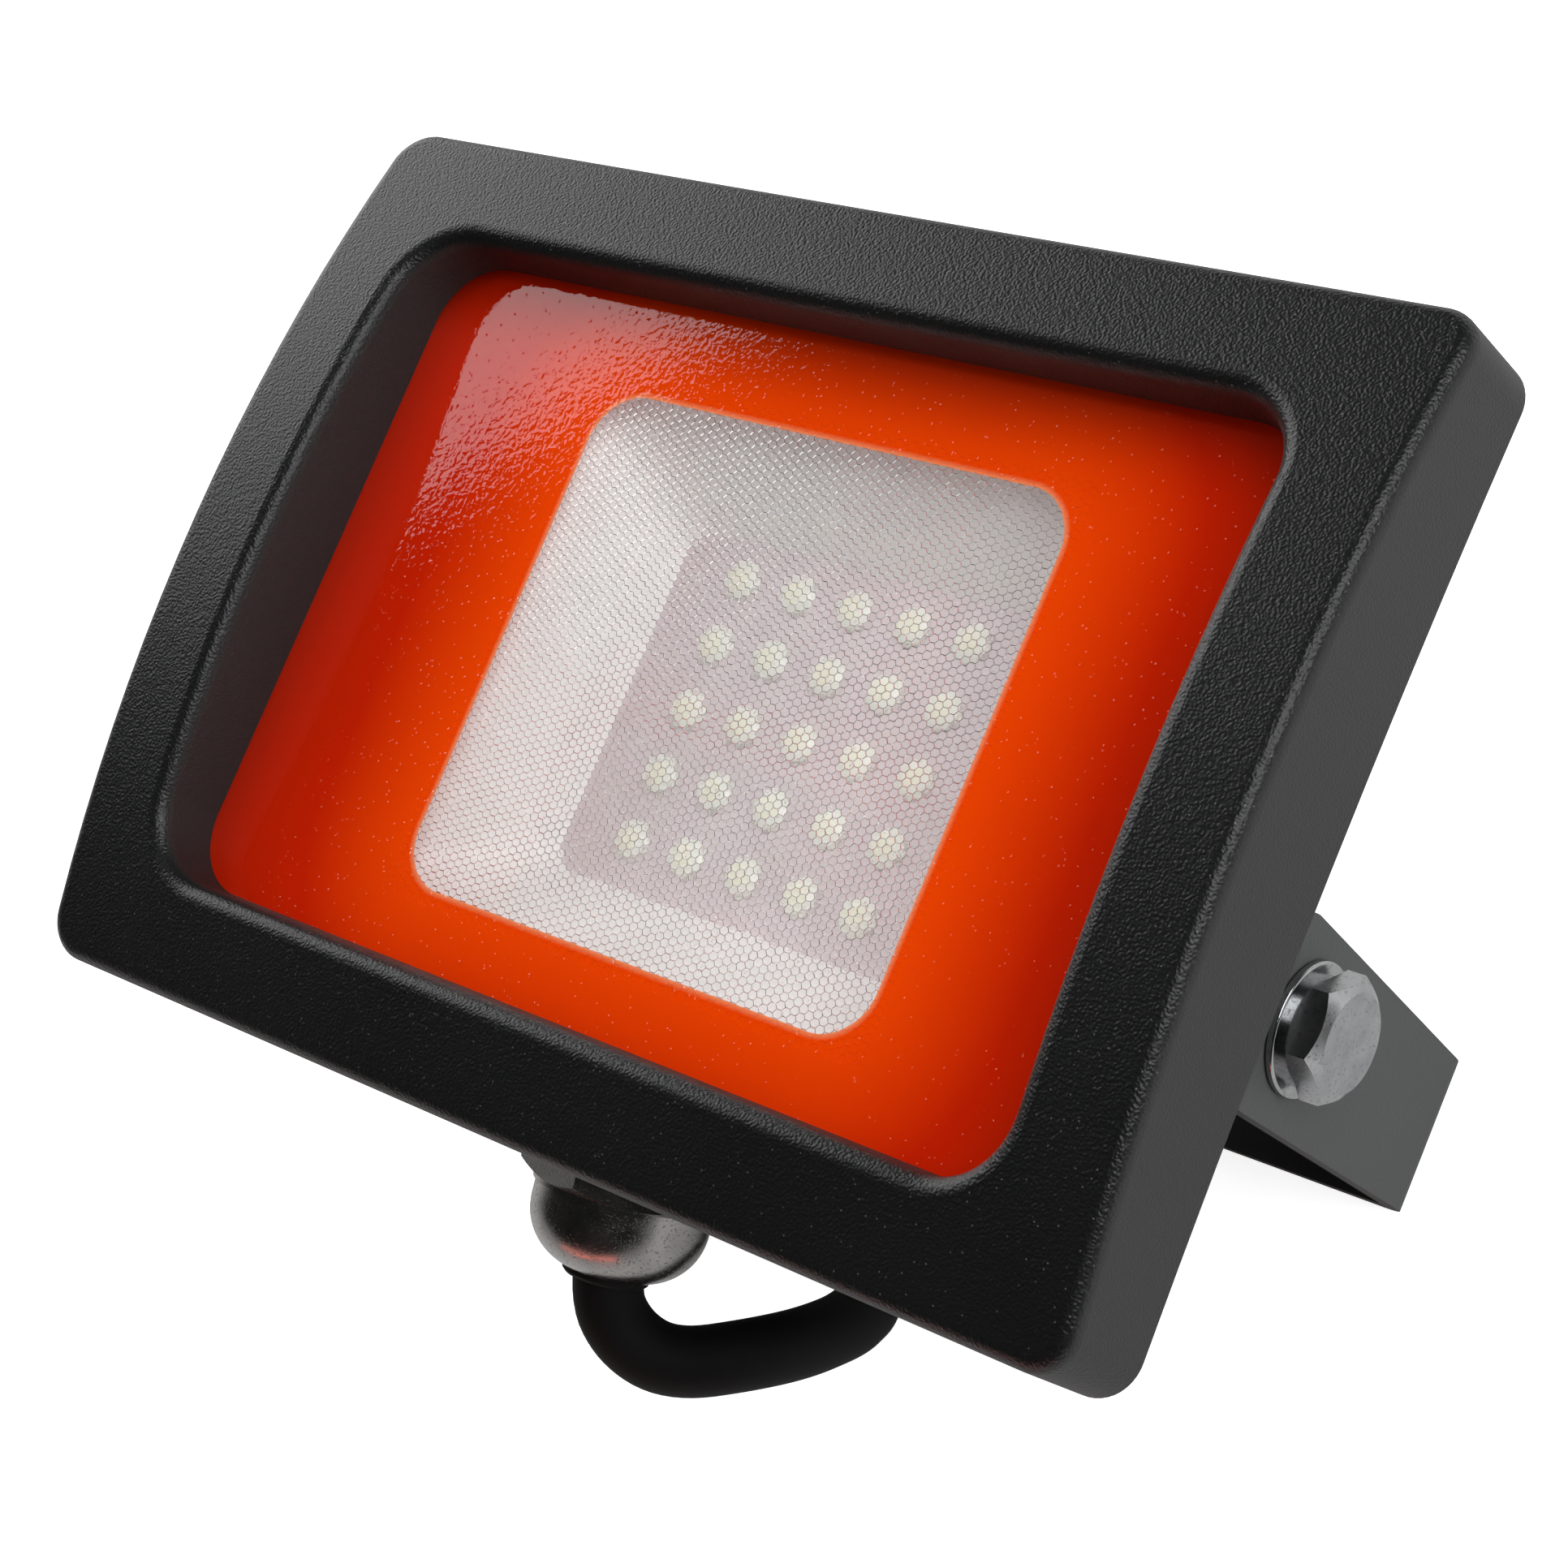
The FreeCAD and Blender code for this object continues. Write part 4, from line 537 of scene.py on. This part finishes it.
# the last 0.6 mm of the print is blended towards pale orange
pale_rim = spread(tree, distance, WINDOW_CORNER * MM, (WINDOW_CORNER + PALE_RIM_WIDTH) * MM,
              PALE_RIM_SHARE, 0.0)
# painted light: brighter ink near the window, painted shade further out
painted_shade_out = spread(tree, distance, (WINDOW_CORNER + PAINTED_GLOW_TO) * MM,
                  (WINDOW_CORNER + PAINTED_SHADE_FROM) * MM)
ink = two_tones(tree, painted_shade_out, 0.0, 1.0, ("#f64600", "#d02200"))
rimmed_ink = mix(tree, pale_rim, ink, light("#ffb07a"))
coat = add(tree, "BsdfPrincipled", {"Base Color": rimmed_ink, "Roughness": 0.6, "IOR": 1.5,
                                    "Specular IOR Level": 0.0,
                                    "Normal": bump(tree, grain(tree, place, 0.3), 0.002)})
printed = add(tree, "MixShader", {0: covered, 1: glass_shader(tree), 2: coat.outputs[0]})
tree.links.new(printed.outputs[0], output.inputs["Surface"])
glass_pane.data.materials.append(glass)
glass_pane.data.materials.append(enamel)
print("pane materials:", [m.name for m in glass_pane.data.materials])

# %% [markdown]
# ## Light chips
# Each of the 25 chips is a round white ceramic package under a low dome of milky silicone, with
# the pale yellow phosphor showing in its middle. A chip is a stack of rings, as if turned on a
# lathe, and is repeated at the chips' pitch, because they are placed by a machine and all look
# alike.

# %% Chips
CHIP_PITCH = (6.7, 6.5)
CHIPS_EACH_WAY = 5
CHIP_BASE = 44.5
RING_STEPS = 24
CERAMIC, DOME, PHOSPHOR = 0, 1, 2
# (height, radius, material of the band that ends there)
CHIP_RINGS = [(0.0, 1.9, CERAMIC), (0.25, 1.9, CERAMIC), (0.35, 1.78, DOME), (0.55, 1.5, DOME),
              (0.7, 1.1, DOME), (0.78, 0.7, PHOSPHOR), (0.8, 0.4, PHOSPHOR)]


def chip_ring(z, radius):
    """Points of one ring of a chip, round its middle."""
    angles = [2 * math.pi * (step + 0.5) / RING_STEPS for step in range(RING_STEPS)]
    return [Vector((radius * math.cos(angle), radius * math.sin(angle), z)) for angle in angles]


chips = bmesh.new()
for i in range(CHIPS_EACH_WAY):
    for j in range(CHIPS_EACH_WAY):
        middle = Vector((WINDOW_MIDDLE[0] + (i - CHIPS_EACH_WAY // 2) * CHIP_PITCH[0],
                         WINDOW_MIDDLE[1] + (j - CHIPS_EACH_WAY // 2) * CHIP_PITCH[1], CHIP_BASE))
        loops = [[chips.verts.new((point + middle) * MM) for point in chip_ring(z, radius)]
                 for z, radius, _ in CHIP_RINGS]
        chips.faces.new(list(reversed(loops[0])))
        for k in range(1, len(loops)):
            for n in range(RING_STEPS):
                m = (n + 1) % RING_STEPS
                face = chips.faces.new([loops[k - 1][n], loops[k - 1][m], loops[k][m], loops[k][n]])
                face.material_index = CHIP_RINGS[k][2]
        chips.faces.new(loops[-1]).material_index = PHOSPHOR
light_chips = make_object("light_chips", chips)
for skin in (moulded("white_chip_ceramic", ("#e4e6df", "#eceee6"), 0.4, 0.4, 0.002),
             moulded("milky_silicone_dome", ("#e8eae0", "#eef0e6"), 0.15, 0.8, 0.001),
             moulded("pale_yellow_phosphor", ("#e9e9d3", "#efefdb"), 0.25, 0.5, 0.002)):
    light_chips.data.materials.append(skin)
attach(light_chips, "head")
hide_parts("led_chips")
print("chip faces:", len(light_chips.data.polygons))

# %% [markdown]
# ## Finishes for the CAD pieces
# The CAD pieces already have the right shape, so each only gets its finish.

# %% Give the finishes
FINISHES = {
    cast_coat: ["rear_housing", "front_bezel"],
    strap_coat: ["bracket"],
    zinc_plate: ["bezel_screws", "pivot_bolt_left", "pivot_bolt_right", "flat_washer_left",
                 "flat_washer_right", "plate_screws", "board_screws", "driver_screws",
                 "earth_screw"],
    nickel_plate: ["gland_body", "gland_dome_nut"],
    silicone: ["glass_gasket", "gland_seal"],
    rubber: ["gland_insert"],
    reflector_white: ["reflector"],
    sheet_aluminium: ["mounting_plate"],
    board_white: ["led_board"],
    board_green: ["driver_board"],
    dark_plastic: ["transformer", "choke", "terminal_block"],
    can_sleeve: ["mains_capacitor", "output_capacitor"],
}
for name in CORE_NAMES:
    FINISHES[core_skins[name]] = [name]
for finish, names in FINISHES.items():
    for name in names:
        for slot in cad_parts[name].material_slots:
            slot.material = finish
lead.data.materials.append(rubber)
print("finished pieces:", sum(len(names) for names in FINISHES.values()))

# %% [markdown]
# ## The studio
# The lamp stands on a white floor in a white room. Both are raised to full white only for rays
# that the camera sees, directly or through the glass, and light the lamp itself far less. What its
# metal and coat mirror is another matter: the ceiling is dark there, so that the print keeps its
# full colour, and all that is low in the room is pale.

# %% Floor
FLOOR_LIFT = 0.8
floor_mesh = bmesh.new()
bmesh.ops.create_grid(floor_mesh, x_segments=1, y_segments=1, size=3.0)
floor = make_object("studio_floor", floor_mesh, smooth=False)
floor_white, tree, output, place = new_material("white_paper_floor")
paper = add(tree, "BsdfDiffuse", {"Color": light("#e8e8e8")})
seen = either_ray(tree, "Is Camera Ray", "Is Transmission Ray")
glow = add(tree, "Math", {0: seen, 1: FLOOR_LIFT}, operation="MULTIPLY").outputs[0]
lift = add(tree, "Emission", {"Color": (1, 1, 1, 1), "Strength": glow})
both = add(tree, "AddShader", {0: paper.outputs[0], 1: lift.outputs[0]})
tree.links.new(both.outputs[0], output.inputs["Surface"])
floor.data.materials.append(floor_white)
print("floor:", floor.name)

# %% Room
WORLD_LIGHT = 0.22
PALE_WALLS, DARK_CEILING = 0.6, 0.02
WALLS_END, CEILING_STARTS = 0.02, 0.25
world = bpy.data.worlds.new("studio_room")
bpy.context.scene.world = world
world.use_nodes = True
tree = world.node_tree
tree.nodes.clear()
up = height_of(tree, add(tree, "TexCoord").outputs["Generated"])
room = spread(tree, up, WALLS_END, CEILING_STARTS, PALE_WALLS, DARK_CEILING)
glossy = add(tree, "LightPath").outputs["Is Glossy Ray"]
mirrored = add(tree, "Mix", {"Factor": glossy, 2: WORLD_LIGHT, 3: room},
               data_type="FLOAT").outputs[0]
seen = either_ray(tree, "Is Camera Ray", "Is Transmission Ray")
strength = add(tree, "Mix", {"Factor": seen, 2: mirrored, 3: 1.0}, data_type="FLOAT").outputs[0]
background = add(tree, "Background", {"Color": (1, 1, 1, 1), "Strength": strength})
tree.links.new(background.outputs[0], add(tree, "OutputWorld").inputs["Surface"])
print("room:", world.name)

# %% [markdown]
# One softbox, behind the lamp on the left, is what the glass mirrors in its upper left corner and
# what lights the frame's upper edge. It is placed by one edge, the one where its mirror image ends
# on the glass. A key from the right and an orange card, which shows as a streak in the gland's
# nut, are mirrored too. The other three only fill in and are kept out of mirrors.

# %% Lamps
AIM = Vector((0.0, 0.02, 0.06))


def area_lamp(name, place, across, size, watts, mirrored=True, colour="#ffffff"):
    """An area lamp that faces the head, with its width along the direction across."""
    data = bpy.data.lights.new(name, "AREA")
    data.shape = "RECTANGLE"
    data.size, data.size_y = size
    data.energy = watts
    data.color = light(colour)[:3]
    lamp = bpy.data.objects.new(name, data)
    bpy.context.scene.collection.objects.link(lamp)
    back = (place - AIM).normalized()
    side = Vector(across)
    side = (side - side.dot(back) * back).normalized()
    turn = Matrix((side, back.cross(side), back)).transposed().to_4x4()
    lamp.matrix_world = Matrix.Translation(place) @ turn
    lamp.visible_glossy = mirrored


EDGE_TOWARDS = Vector((-0.6776, 0.187, 0.711)).normalized()
EDGE_ALONG = Vector((0.554, 0.764, 0.33)).normalized()
AWAY_FROM_EDGE = EDGE_TOWARDS.cross(EDGE_ALONG).normalized()
SOFTBOX = (0.75, 1.0)
EDGE_OVERLAP, EDGE_SHIFT = 0.015, 0.06
softbox_place = (AIM + EDGE_TOWARDS + AWAY_FROM_EDGE * (SOFTBOX[1] / 2 - EDGE_OVERLAP)
                 - EDGE_ALONG * EDGE_SHIFT)
area_lamp("softbox_left", softbox_place, EDGE_ALONG, SOFTBOX, 6.4)
area_lamp("key_right", AIM + Vector((0.66, 0.33, 0.81)), (0, 1, 0), (0.8, 0.8), 8.0)
area_lamp("low_right", AIM + Vector((1.2, 0.1, 0.03)), (0, 1, 0), (0.5, 0.4), 15.0, mirrored=False)
area_lamp("orange_card", Vector((-0.1, -1.0, 0.1)), (1, 0, 0), (1.0, 0.1), 0.8, colour="#ff5a20")
area_lamp("fill_left", AIM + Vector((-0.5, 0.35, 0.9)), (0, 1, 0), (0.6, 0.6), 1.1, mirrored=False)
area_lamp("overhead", Vector((-0.2, 0.0, 1.35)), (1, 0, 0), (0.5, 0.9), 1.6, mirrored=False)
print("softbox at", [round(v, 2) for v in softbox_place])

# %% [markdown]
# ## Colour of the picture
# The standard view shows each colour as it was mixed, which suits a catalogue picture.

# %% View
bpy.context.scene.view_settings.view_transform = "Standard"
